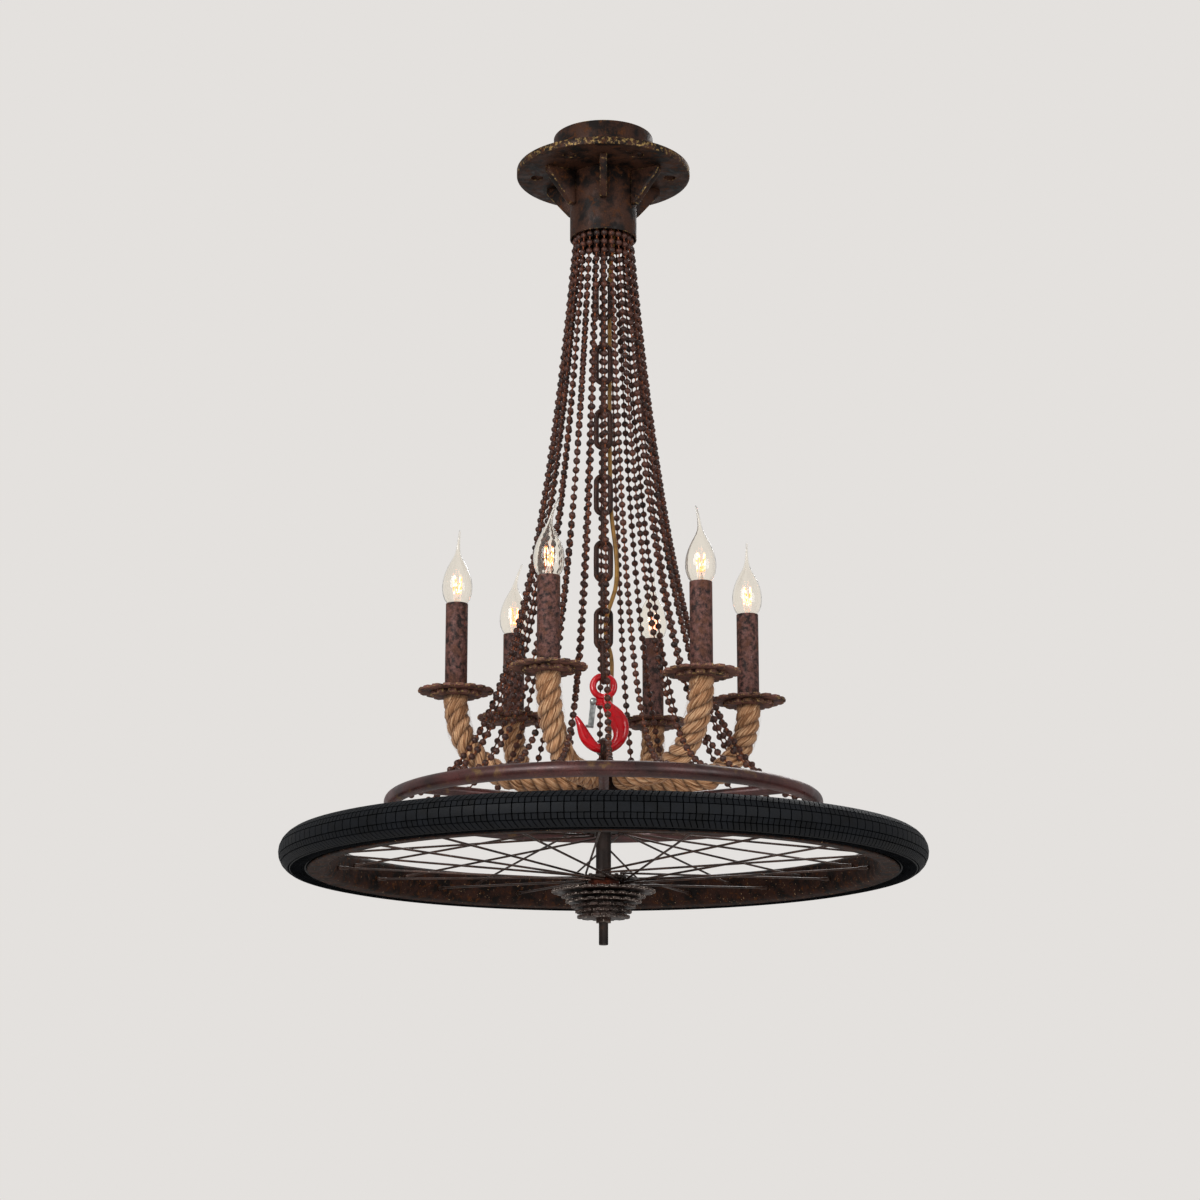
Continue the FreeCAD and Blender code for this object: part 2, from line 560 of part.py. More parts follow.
def swell(wide, narrow, rise, shares):
    """Return the radius at shares of the way along an arc from its narrow end to its upright wide end."""
    radius = f"((({wide} - {narrow}) ^ 2 + ({rise}) ^ 2) / 2 / ({wide} - {narrow}))"
    return [f"({wide} - {radius} + sqrt({radius} ^ 2 - (({rise}) * {1 - share}) ^ 2))" for share in shares]


def bulb_side(inset, low, high):
    """Return a bulb's side, set in by its wall, at shares of the way up to its belly and on to its neck."""
    belly = f"(bulb_dia / 2 - {inset})"
    foot = swell(belly, f"(bulb_neck / 2 - {inset})", "bulb_belly + holder_drop", low)
    head = swell(belly, f"(bulb_shoulder_dia / 2 - {inset})", "bulb_shoulder - bulb_belly", high)
    return ([(radius, f"{HOLDER_TOP} + (bulb_belly + holder_drop) * {share}")
             for radius, share in zip(foot, low)]
            + [(radius, f"{SLEEVE_TOP} + bulb_shoulder - (bulb_shoulder - bulb_belly) * {share}")
               for radius, share in zip(head, high)])


glass = new_body("bulb_glass", ARM, "arm_angle")
outside = bulb_side("0", (0, 0.45, 1), (0.72, 0.38, 0))
inside = bulb_side("bulb_wall", (0, 0.5, 1), (0.5, 0))
tip = [("bulb_tip / 2", f"{SLEEVE_TOP} + bulb_height")]
lofts = []
for kind, side in (("PartDesign::AdditiveLoft", outside + tip), ("PartDesign::SubtractiveLoft", inside)):
    plans = [new_sketch(glass, "XY_Plane", height) for radius, height in side]
    for plan, (radius, height) in zip(plans, side):
        polygon(plan, 12, f"2 * {radius}", CANDLE)
    loft = glass.newObject(kind, "bulb_glass_side")
    loft.Profile = plans[0]
    loft.Sections = plans[1:]
    loft.Ruled = True
    lofts.append(loft)
around(glass, lofts, "arm_count")

filament, filament_plan = on_candles("bulb_filaments", HOLDER_TOP)
polygon(filament_plan, 6, "filament_dia", CANDLE)
around(filament, [pad(filament, filament_plan, "filament_length")], "arm_count")

# Hoop and its struts
hoop = new_body("hoop", HOOP)
revolve(hoop, polygon_corners(8, "hoop_tube", "hoop_dia / 2"))

struts = new_body("hoop_struts", HOOP, "-90")
strut_end = new_sketch(struts, "YZ_Plane", "strut_hub_flats / 2")
polygon(strut_end, 12, "strut_dia")
STRUT_LENGTH = "hoop_dia / 2 - hoop_tube / 2 - strut_gap - strut_hub_flats / 2"
around(struts, [pad(struts, strut_end, STRUT_LENGTH)], "arm_count")

# Axle and its nuts
HUB_TOP = f"({WHEEL} + hub_top)"
BOSS_TOP = "(-hub_flange_down - hub_flange_thick / 2)"
FREE_TOP = f"({BOSS_TOP} - spacer_length - end_gap)"
STACK_TOP = f"({FREE_TOP} - sprocket_lead)"
FREE_FOOT = f"({STACK_TOP} - 5 * sprocket_step - sprocket_thick - sprocket_tail)"
AXLE_LENGTH = "wheel_drop - arm_hub_height / 2 + axle_depth + axle_tail"
ring_prism("axle", f"{WHEEL} - axle_tail", "axle_dia", None, AXLE_LENGTH)
ring_prism("axle_nut_upper", f"{HUB_TOP} + end_gap", "locknut_flats", "axle_dia + 2 * thread_gap",
           "wheel_drop - arm_hub_height / 2 - strut_hub_height - hub_top - end_gap", 6)
ring_prism("axle_nut_lower", f"{WHEEL} + {FREE_FOOT} - end_gap - tail_nut_height", "locknut_flats",
           "axle_dia + 2 * thread_gap", "tail_nut_height", 6)

# Hub shell with its two bearings and the spacer over the freewheel
BOSS_FOOT = f"({FREE_FOOT} + freewheel_floor + end_gap)"
POCKET = "bearing_dia / 2 + weld_gap"
UPPER = "hub_flange_up + {} * hub_flange_thick / 2"
LOWER = "-hub_flange_down + {} * hub_flange_thick / 2"
hub = new_body("hub_shell", WHEEL)
revolve(hub, [(POCKET, "hub_top"), (POCKET, "hub_top - bearing_width"),
              ("hub_bore / 2", "hub_top - bearing_width"), ("hub_bore / 2", f"{BOSS_FOOT} + bearing_width"),
              (POCKET, f"{BOSS_FOOT} + bearing_width"), (POCKET, BOSS_FOOT), ("boss_dia / 2", BOSS_FOOT),
              ("boss_dia / 2", LOWER.format(-1)), ("hub_flange_dia / 2", LOWER.format(-1)),
              ("hub_flange_dia / 2", LOWER.format(1)), ("hub_barrel / 2", LOWER.format(1)),
              ("hub_barrel / 2", UPPER.format(-1)), ("hub_flange_dia / 2", UPPER.format(-1)),
              ("hub_flange_dia / 2", UPPER.format(1)), ("hub_cup_dia / 2", UPPER.format(1)),
              ("hub_cup_dia / 2", "hub_top")])

bearings = new_body("hub_bearings", WHEEL)
for foot in ("hub_top - bearing_width", BOSS_FOOT):
    race = new_sketch(bearings, "XY_Plane", foot)
    circle(race, "bearing_dia")
    circle(race, "axle_dia + 2 * run_gap")
    pad(bearings, race, "bearing_width")

ring_prism("hub_spacer", f"{WHEEL} + {BOSS_TOP} - spacer_length", "spacer_dia", "boss_dia + 2 * thread_gap",
           "spacer_length")

# Rim: a channel, closed towards the hub, with its corners cut
rim = new_body("rim", WHEEL)
RIM_OUT = "rim_outer_dia / 2"
RIM_IN = "(rim_outer_dia / 2 - rim_depth)"
half_rim = [(RIM_IN, "rim_width / 2 - rim_edge"), (f"{RIM_IN} + rim_edge", "rim_width / 2"),
            (RIM_OUT, "rim_width / 2"), (RIM_OUT, "rim_width / 2 - rim_wall"),
            (f"{RIM_IN} + rim_edge + rim_wall / 2", "rim_width / 2 - rim_wall"),
            (f"{RIM_IN} + rim_wall", "rim_width / 2 - rim_edge - rim_wall / 2")]
revolve(rim, half_rim + [(radius, f"-({height})") for radius, height in reversed(half_rim)])

# Tyre on its tube, seated in the rim
tyre = new_body("tyre", WHEEL)
SEAT = "(rim_width / 2 - rim_wall - tyre_seat)"
SECTION = "(tyre_width / 2)"
MIDDLE = "(tyre_dia / 2 - tyre_width / 2)"
TREAD_FOOT = f"({MIDDLE} + sqrt({SECTION} ^ 2 - tread_width ^ 2 / 4))"
half_tyre = [(f"{RIM_OUT} - rim_depth / 2", SEAT), (f"{MIDDLE} - sqrt({SECTION} ^ 2 - {SEAT} ^ 2)", SEAT),
             (f"{MIDDLE} + {SECTION} * cos(105)", f"{SECTION} * sin(105)"),
             (f"{MIDDLE} + {SECTION} * cos(75)", f"{SECTION} * sin(75)"),
             (TREAD_FOOT, "tread_width / 2"), (f"{TREAD_FOOT} + tread_step", "tread_width / 2"),
             ("tyre_dia / 2", "tread_width / 4")]
revolve(tyre, half_tyre + [(radius, f"-({height})") for radius, height in reversed(half_tyre)])


def as_part(label, solids):
    """Put shapes made point by point into the document as one piece."""
    item = doc.addObject("Part::Feature", label)
    item.Label = label
    item.Shape = Part.makeCompound(solids) if len(solids) > 1 else solids[0]
    return item


def many_sided(place, way, dia, sides):
    """Return the closed outline of a bar of a width across flats, square to the way that it goes."""
    across = way.cross(Vector(0, 1, 0)).normalize()
    reach = dia / 2 / math.cos(math.pi / sides)
    corners = [place + FreeCAD.Rotation(way, i * 360 / sides).multVec(across) * reach
               for i in range(sides)]
    return Part.makePolygon(corners + corners[:1])


def straight_bar(first, last, dia, sides):
    """Return a many-sided bar between two points."""
    return Part.Face(many_sided(first, last - first, dia, sides)).extrude(last - first)


def polar(radius, angle, height):
    """Return the point at a radius and an angle in degrees, at a height."""
    return Vector(radius * math.cos(math.radians(angle)), radius * math.sin(math.radians(angle)), height)


# Spokes: every other one to the upper hub flange, crossed, each from the face away from its mate
spokes = []
for i in range(int(value("spoke_count"))):
    up = 1 if i % 2 == 0 else -1
    lead = 1 if i // 2 % 2 == 0 else -1
    angle = 360 * i / value("spoke_count")
    flange_level = value("hub_flange_up") if up > 0 else -value("hub_flange_down")
    stand = value("hub_flange_thick / 2 + spoke_dia / 2 + spoke_lift") * up * lead
    spokes.append(straight_bar(
        polar(value("spoke_circle / 2"), angle + lead * value("spoke_lace"), flange_level + stand),
        polar(value(f"{RIM_IN} - spoke_seat"), angle, up * value("spoke_spread")),
        value("spoke_dia"), 6))
as_part("spokes", spokes).Placement.Base = Vector(0, 0, value(WHEEL))

# Freewheel: a body closed below, six sprockets and the collars between them
freewheel = new_body("freewheel_body", WHEEL)
RACE = "boss_dia / 2 + run_gap"
FLOOR = f"{FREE_FOOT} + freewheel_floor"
revolve(freewheel, [("freewheel_dia / 2", FREE_TOP), (RACE, FREE_TOP), (RACE, FLOOR),
                    ("axle_dia / 2 + floor_gap", FLOOR), ("axle_dia / 2 + floor_gap", FREE_FOOT),
                    ("freewheel_dia / 2", FREE_FOOT)])
collars = new_body("sprocket_collars", WHEEL)
SPROCKET_BORE = "freewheel_dia + 2 * weld_gap"
for i, place in enumerate(("first", "second", "third", "fourth", "fifth", "last")):
    foot = f"{STACK_TOP} - {i} * sprocket_step - sprocket_thick"
    sprocket = new_body(f"sprocket_{place}", f"{WHEEL} + {foot}")
    sprocket_plan = new_sketch(sprocket, "XY_Plane")
    toothed(sprocket_plan, f"teeth_{place}")
    circle(sprocket_plan, SPROCKET_BORE)
    pad(sprocket, sprocket_plan, "sprocket_thick")
    if place != "last":
        collar_plan = new_sketch(collars, "XY_Plane", foot)
        polygon(collar_plan, 12, "collar_dia")
        polygon(collar_plan, 12, SPROCKET_BORE)
        pad(collars, collar_plan, "sprocket_step - sprocket_thick", down=True)


# Bead strands: evenly to both sides of each candle, in the curve of a hanging chain
def hanging_curve(top, end, slope, runs):
    """Return points of a hanging chain from top to end, in radius and height, at even steps out."""
    span = end.x - top.x
    foot = -math.asinh(slope)
    low, high = span / 20, span
    for _ in range(60):
        scale = (low + high) / 2
        fall = scale * (math.cosh(foot - span / scale) - math.cosh(foot))
        low, high = (scale, high) if fall > top.y - end.y else (low, scale)
    points = []
    for i in range(runs + 1):
        radius = top.x + span * i / runs
        rise = scale * (math.cosh(foot - (end.x - radius) / scale) - math.cosh(foot))
        points.append(Vector(radius, 0, end.y + rise))
    return points


strand_top = Vector(value("strand_circle / 2"), value(f"{BEAD_RING} - strand_gap"), 0)
strand_end = Vector(value(STRAND_END), value(f"{HOOP} + strand_rise"), 0)
route = hanging_curve(strand_top, strand_end, value("strand_slope"), int(value("strand_runs")))
tube = Part.BRepOffsetAPI.MakePipeShell(Part.makePolygon(route))
tube.add(many_sided(route[0], route[1] - route[0], value("bead_dia"), 6))
tube.setTransitionMode(1)
tube.build()
tube.makeSolid()
strands = []
for i in range(int(value("strand_count"))):
    strand = tube.shape().copy()
    strand.rotate(Vector(0, 0, 0), Vector(0, 0, 1), value(f"arm_angle + {i + 0.5} * 360 / strand_count"))
    strands.append(strand)
as_part("bead_strands", strands)

# Lamp cord: from the canopy down the chain, through one link, behind the hook to the arm hub
GLAND_TOP = f"({FLANGE_UNDER} - gland_height)"
HUB_GLAND = f"({ARM} + arm_hub_height / 2)"
CORD_TOP = Vector(11, 12, value(GLAND_TOP))
CORD_END = Vector(6, 11, value(f"{HUB_GLAND} + gland_height"))
through = value(f"{LAST_LINK} + {LINK_STEP}")
down = [(11, 12, 434.3), (7.2, 7.8, 394.3), (6.4, 6.9, 342), (7, 7.4, 290), (6.3, 6.8, 238),
        (6.9, 7.3, 186), (7.4, 6.8, 129), (14, 3, 80), (14, -5, 46), (9, -8.5, 28.4), (2.4, -6.5, 10.4),
        (2.4, 6.5, -11.1), (9, 8.5, -27.6), (8.5, 9.5, -54.6), (6.8, 9.6, -89), (6, 11, -121.6)]
cord_route = [CORD_TOP] + [Vector(x, y, through + z) for x, y, z in down] + [CORD_END]


def rounded(points, share):
    """Return a wire of straight runs joined by arcs, each arc taking a share of the shorter run."""
    edges = []
    place = points[0]
    for before, corner, after in zip(points, points[1:], points[2:]):
        into = corner - before
        away = after - corner
        reach = share * min(into.Length, away.Length)
        into.normalize()
        away.normalize()
        start = corner - into * reach
        finish = corner + away * reach
        half_turn = into.getAngle(away) / 2
        radius = reach / math.tan(half_turn)
        inward = (away - into).normalize()
        middle = corner + inward * (radius / math.cos(half_turn) - radius)
        edges.append(Part.makeLine(place, start))
        edges.append(Part.Arc(start, middle, finish).toShape())
        place = finish
    edges.append(Part.makeLine(place, points[-1]))
    return Part.Wire(edges)


cord_line = rounded(cord_route, 0.45)
cord_heading = cord_route[1] - cord_route[0]
cord = cord_line.makePipeShell([many_sided(cord_route[0], cord_heading, value("cord_dia"), 8)], True, True)
as_part("lamp_cord", [cord])

for label, place, wide, narrow in (("cord_gland_upper", CORD_TOP, "gland_nose", "gland_dia"),
                                   ("cord_gland_lower", None, "gland_dia", "gland_nose")):
    gland = doc.addObject("Part::Cone", label)
    gland.Label = label
    bind(gland, Radius1=f"{wide} / 2", Radius2=f"{narrow} / 2", Height="gland_height")
    gland.Placement.Base = place or CORD_END - Vector(0, 0, value("gland_height"))

# Every piece sound, then one file each
doc.recompute()
unsound = [item.Label for item in doc.Objects if {"Invalid", "Error"} & set(item.State)]
pieces = [item for item in doc.Objects if item.TypeId in ("PartDesign::Body", "Part::Feature", "Part::Cone")]
unsound += [item.Label for item in pieces if item.Shape.isNull() or not item.Shape.isValid()]
if unsound:
    raise RuntimeError(f"unsound pieces: {unsound}")
os.makedirs("parts", exist_ok=True)
for item in pieces:
    item.Shape.exportStep(f"parts/{item.Label}.step")
    print(item.Label, len(item.Shape.Solids), round(item.Shape.Volume))
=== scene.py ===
"""Looks of the bicycle wheel pendant light, built round its solids.

Places are in metres in the frame of the solids: the origin is on the ceiling, on the axis of the
light, with +Z up and the viewer on the -Y side. Sizes in the classes are in millimetres.
"""

import bisect
import functools
import itertools
import logging
import math
import random
from contextlib import contextmanager
from dataclasses import dataclass
from enum import Enum
from typing import Iterator, Sequence, Union

import bpy
from mathutils import Matrix, Vector


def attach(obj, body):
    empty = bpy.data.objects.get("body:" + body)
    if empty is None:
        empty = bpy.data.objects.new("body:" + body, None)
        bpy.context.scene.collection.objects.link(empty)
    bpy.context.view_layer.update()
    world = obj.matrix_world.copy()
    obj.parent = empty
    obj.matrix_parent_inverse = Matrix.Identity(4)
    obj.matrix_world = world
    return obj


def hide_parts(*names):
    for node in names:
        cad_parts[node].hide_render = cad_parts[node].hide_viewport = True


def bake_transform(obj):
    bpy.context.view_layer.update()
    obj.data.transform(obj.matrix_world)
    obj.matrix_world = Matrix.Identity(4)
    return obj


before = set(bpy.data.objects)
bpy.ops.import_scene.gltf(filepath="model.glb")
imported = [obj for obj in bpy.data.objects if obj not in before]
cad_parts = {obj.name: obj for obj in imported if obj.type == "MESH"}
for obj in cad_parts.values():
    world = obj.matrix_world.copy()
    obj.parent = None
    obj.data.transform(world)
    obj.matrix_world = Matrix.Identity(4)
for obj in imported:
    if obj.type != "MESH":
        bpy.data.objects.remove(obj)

LOG = logging.getLogger("wheel_pendant")
MM = 0.001
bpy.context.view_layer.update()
Place = tuple[float, float]
Spot = tuple[float, float, float]
Station = tuple[Vector, Vector, float]
Setting = Union[float, int, str, tuple, bpy.types.NodeSocket]
Sockets = dict[Union[int, str], Setting]
Piece = bpy.types.Object
Tree = bpy.types.NodeTree
Node = bpy.types.Node


class Body(Enum):
    """Bodies of the light that pieces ride on."""

    CANOPY = "canopy"
    TOP_LINK = "top_link"
    PENDANT = "pendant"
    LATCH = "latch"
    WHEEL = "wheel"
    FREEWHEEL = "freewheel"


class Slot(Enum):
    """Material slots of the record."""

    IRON = "rusty_iron"
    ZINC = "zinc_steel"
    STEEL = "dark_steel"
    RED = "red_paint"
    ROPE = "rope"
    BEADS = "bead_metal"
    GLASS = "bulb_glass"
    BRASS = "brass"
    CORD = "cord"
    TYRE = "tyre"
    RUST = "rust_red"


class Lay(Enum):
    """Way that the strands of a rope turn."""

    Z = 1
    S = -1


# Finishes


def linear(colour: str) -> tuple[float, float, float, float]:
    """Turn an sRGB hex colour into linear red, green, blue and alpha.

    Args:
        colour: six hex digits.

    Returns:
        Four numbers from 0 to 1.
    """
    parts = [int(colour[i:i + 2], 16) / 255 for i in (0, 2, 4)]
    return (*[p / 12.92 if p <= 0.04045 else ((p + 0.055) / 1.055) ** 2.4 for p in parts], 1.0)


def plug(tree: Tree, node: Node, sockets: Sockets) -> None:
    """Link or set the inputs of a node.

    Args:
        tree: the node tree that holds it.
        node: the node.
        sockets: values or sources of its inputs, by name or number.
    """
    for name, source in sockets.items():
        if isinstance(source, bpy.types.NodeSocket):
            tree.links.new(source, node.inputs[name])
        else:
            node.inputs[name].default_value = source


def add(tree: Tree, kind: str, sockets: Sockets, stops: Sequence[tuple[float, str]] = (),
        **settings: Setting) -> Node:
    """Add a node with its settings and links.

    Args:
        tree: the material's or world's node tree.
        kind: the node's type name.
        sockets: values or sources of its inputs, by name or number.
        stops: places and hex colours of a colour ramp.
        settings: the node's own properties.

    Returns:
        The new node.
    """
    node = tree.nodes.new(kind)
    for name, setting in settings.items():
        setattr(node, name, setting)
    for i, (spot, colour) in enumerate(stops):
        stop = node.color_ramp.elements[i] if i < 2 else node.color_ramp.elements.new(spot)
        stop.position = spot
        stop.color = linear(colour)
    plug(tree, node, sockets)
    return node


def per_metre(size: float) -> float:
    """Return the pattern scale that gives features of a size in millimetres."""
    return 1 / (size * MM)


class Finish:
    """A surface finish that makes its own material."""

    name: str

    def paint(self, tree: Tree, shader: Node) -> None:
        """Fill the node tree round the surface shader."""
        raise NotImplementedError

    @functools.cache
    def material(self) -> bpy.types.Material:
        """Make the material once, and give it out from then on.

        Returns:
            The material.
        """
        made = bpy.data.materials.new(self.name)
        made.use_nodes = True
        tree = made.node_tree
        self.paint(tree, next(n for n in tree.nodes if n.type == "BSDF_PRINCIPLED"))
        return made


@dataclass(frozen=True)
class RustedIron(Finish):
    """Iron that was forged or cast, then left to rust and waxed.

    The eye gets brown-black metal in cloudy patches, rust in blotches over them, a fine grain, and
    small bare flecks. Rubbed edges take the fleck colour as well: partly bare worn metal and partly a
    painted highlight along the edges. The grain is drawn coarser than it is, so that it shows.
    """

    name: str
    dark: str
    brown: str
    rust: str
    fleck_and_glint: str
    patch: float = 32.0
    blotch: float = 8.0
    grain: float = 1.3
    rust_start: float = 0.55
    fleck_start: float = 0.66
    rubbed_glint_start: float = 0.5
    rough: tuple[float, float] = (0.5, 0.8)
    metallic: float = 0.25
    pitting: float = 0.3
    soft: float = 0.13
    gloss: float = 0.3
    balance: float = 0.49
    rust_fade: float = 0.14
    fleck_fade: float = 0.05
    rubbed_glint_fade: float = 0.1
    chip_share: float = 0.45

    def paint(self, tree: Tree, shader: Node) -> None:
        """Lay patches, blotches, flecks, rubbed edges with their painted highlight, and grain over each
        other.

        Args:
            tree: the material's node tree.
            shader: its surface shader.
        """
        where = add(tree, "ShaderNodeTexCoord", {}).outputs["Object"]
        noises = ((self.patch, 6.0, 0.62, 0.0), (self.blotch, 5.0, 0.66, 0.5), (self.grain, 3.0, 0.6, 0.0),
                  (self.blotch * self.chip_share, 4.0, 0.7, 0.0))
        clouds, spots, sand, chips = (
            add(tree, "ShaderNodeTexNoise", {"Vector": where, "Scale": per_metre(size), "Detail": detail,
                                             "Roughness": rough, "Distortion": twist}).outputs["Fac"]
            for size, detail, rough, twist in noises)
        ground = add(tree, "ShaderNodeValToRGB", {"Fac": clouds},
                     stops=[(self.balance - self.soft, self.dark), (self.balance + self.soft, self.brown)])
        rusty = add(tree, "ShaderNodeValToRGB", {"Fac": spots},
                    stops=[(self.rust_start, "000000"), (self.rust_start + self.rust_fade, "FFFFFF")])
        rusted = add(tree, "ShaderNodeMix", {0: rusty.outputs["Color"], 6: ground.outputs["Color"],
                                             7: linear(self.rust)}, data_type="RGBA")
        shaded = add(tree, "ShaderNodeMapRange", {"Value": sand, "From Min": 0.3,
                                                  "From Max": 0.7, "To Min": 0.62, "To Max": 1.25})
        grainy = add(tree, "ShaderNodeMix", {0: 1.0, 6: rusted.outputs[2], 7: shaded.outputs["Result"]},
                     data_type="RGBA", blend_type="MULTIPLY")
        bare = add(tree, "ShaderNodeValToRGB", {"Fac": chips},
                   stops=[(self.fleck_start, "000000"), (self.fleck_start + self.fleck_fade, "FFFFFF")])
        # Rubbed edges: partly bare worn metal, partly a painted highlight, both in the fleck colour
        edge = add(tree, "ShaderNodeAttribute", {}, attribute_name="rubbed_glint")
        worn = add(tree, "ShaderNodeMapRange", {"Value": chips, "From Min": self.rubbed_glint_start,
                                                "From Max": self.rubbed_glint_start + self.rubbed_glint_fade})
        rubbed_glint = add(tree, "ShaderNodeMath", {0: worn.outputs["Result"], 1: edge.outputs["Fac"]},
                     operation="MULTIPLY", use_clamp=True)
        shine = add(tree, "ShaderNodeMath", {0: bare.outputs["Color"], 1: rubbed_glint.outputs["Value"]},
                    operation="MAXIMUM", use_clamp=True)
        colour = add(tree, "ShaderNodeMix", {0: shine.outputs["Value"], 6: grainy.outputs[2],
                                             7: linear(self.fleck_and_glint)}, data_type="RGBA")
        matt = add(tree, "ShaderNodeMapRange", {"Value": spots, "From Min": 0.3,
                                                "From Max": 0.7, "To Min": self.rough[0],
                                                "To Max": self.rough[1]})
        metal = add(tree, "ShaderNodeMapRange", {"Value": shine.outputs["Value"],
                                                 "To Min": self.metallic, "To Max": 0.8})
        pits = add(tree, "ShaderNodeMath", {0: sand, 1: spots},
                   operation="MULTIPLY")
        relief = add(tree, "ShaderNodeBump", {"Height": pits.outputs["Value"], "Strength": 0.8,
                                              "Distance": self.pitting * MM})
        plug(tree, shader, {"Base Color": colour.outputs[2], "Roughness": matt.outputs["Result"],
                            "Metallic": metal.outputs["Result"], "Normal": relief.outputs["Normal"],
                            "Specular IOR Level": self.gloss})


@dataclass(frozen=True)
class HookEnamel(Finish):
    """Brushed-on red enamel over forged steel: even and glossy, with faint waves and small scuffs."""

    name: str = "red_hook_enamel"
    colour: str = "C40014"
    worn: str = "7C020C"
    scuff: float = 5.0
    wave_height: float = 0.4

    def paint(self, tree: Tree, shader: Node) -> None:
        """Mix the worn red into the red and set the gloss.

        Args:
            tree: the material's node tree.
            shader: its surface shader.
        """
        where = add(tree, "ShaderNodeTexCoord", {}).outputs["Object"]
        marks = add(tree, "ShaderNodeTexNoise", {"Vector": where, "Scale": per_metre(self.scuff),
                                                 "Detail": 6.0, "Roughness": 0.7})
        tone = add(tree, "ShaderNodeValToRGB", {"Fac": marks.outputs["Fac"]},
                   stops=[(0.55, self.colour), (0.78, self.worn)])
        matt = add(tree, "ShaderNodeMapRange", {"Value": marks.outputs["Fac"], "To Min": 0.1,
                                                "To Max": 0.3})
        relief = add(tree, "ShaderNodeBump", {"Height": marks.outputs["Fac"], "Strength": 0.35,
                                              "Distance": self.wave_height * MM})
        plug(tree, shader, {"Base Color": tone.outputs["Color"], "Roughness": matt.outputs["Result"],
                            "Normal": relief.outputs["Normal"], "Specular IOR Level": 0.25,
                            "Coat Weight": 0.7, "Coat Roughness": 0.05})


@dataclass(frozen=True)
class ZincPlate(Finish):
    """Zinc-plated sheet steel: pale grey, satin, with a faint spangle."""

    name: str = "zinc_plated_steel"
    pale: str = "B4B6B4"
    dull: str = "7E807F"
    spangle: float = 4.0

    def paint(self, tree: Tree, shader: Node) -> None:
        """Lay the spangle as cells of two greys.

        Args:
            tree: the material's node tree.
            shader: its surface shader.
        """
        where = add(tree, "ShaderNodeTexCoord", {}).outputs["Object"]
        cells = add(tree, "ShaderNodeTexVoronoi", {"Vector": where, "Scale": per_metre(self.spangle)})
        tone = add(tree, "ShaderNodeValToRGB", {"Fac": cells.outputs["Distance"]},
                   stops=[(0.1, self.pale), (0.75, self.dull)])
        matt = add(tree, "ShaderNodeMapRange", {"Value": cells.outputs["Distance"], "To Min": 0.3,
                                                "To Max": 0.5})
        plug(tree, shader, {"Base Color": tone.outputs["Color"], "Roughness": matt.outputs["Result"],
                            "Metallic": 0.9})


@dataclass(frozen=True)
class HempRope(Finish):
    """Twisted hemp: golden-tan fibres laid along each strand, with painted shade in the grooves, matt and
    hairy.

    The fibres are drawn coarser than they are, so that they show.
    """

    name: str = "twisted_hemp"
    deep: str = "44260E"
    tan: str = "A3734E"
    straw: str = "E0B991"
    fibre: float = 2.0
    fibre_run: float = 30.0
    shade: float = 22.0
    groove_shade: str = "321C0C"
    fibre_height: float = 1.1

    def paint(self, tree: Tree, shader: Node) -> None:
        """Stretch a noise along the strands for the fibres, and cloud the tone along the rope.

        Args:
            tree: the material's node tree.
            shader: its surface shader.
        """
        along = add(tree, "ShaderNodeUVMap", {}, uv_map="strand").outputs["UV"]
        stretched = add(tree, "ShaderNodeMapping", {"Vector": along, "Scale": (per_metre(self.fibre_run),
                                                                       per_metre(self.fibre), 1.0)})
        fibres = add(tree, "ShaderNodeTexNoise", {"Vector": stretched.outputs["Vector"], "Scale": 1.0,
                                                  "Detail": 4.0, "Roughness": 0.65, "Distortion": 0.3})
        where = add(tree, "ShaderNodeTexCoord", {}).outputs["Object"]
        clouds = add(tree, "ShaderNodeTexNoise", {"Vector": where, "Scale": per_metre(self.shade),
                                                  "Detail": 3.0})
        tone = add(tree, "ShaderNodeValToRGB", {"Fac": fibres.outputs["Fac"]},
                   stops=[(0.34, self.deep), (0.48, self.tan), (0.66, self.straw)])
        # Painted shade in the grooves between the strands, where the strands shadow each other
        depth = add(tree, "ShaderNodeAttribute", {}, attribute_name="groove_shade")
        groove_shade = add(tree, "ShaderNodeMix", {0: depth.outputs["Fac"], 6: tone.outputs["Color"],
                                             7: linear(self.groove_shade)}, data_type="RGBA")
        cloudy = add(tree, "ShaderNodeMapRange", {"Value": clouds.outputs["Fac"], "From Min": 0.3,
                                                  "From Max": 0.7, "To Min": 0.78, "To Max": 1.12})
        colour = add(tree, "ShaderNodeMix", {0: 1.0, 6: groove_shade.outputs[2], 7: cloudy.outputs["Result"]},
                     data_type="RGBA", blend_type="MULTIPLY")
        relief = add(tree, "ShaderNodeBump", {"Height": fibres.outputs["Fac"], "Strength": 1.0,
                                              "Distance": self.fibre_height * MM})
        plug(tree, shader, {"Base Color": colour.outputs[2], "Normal": relief.outputs["Normal"],
                            "Roughness": 0.9, "Specular IOR Level": 0.25, "Sheen Weight": 0.15})


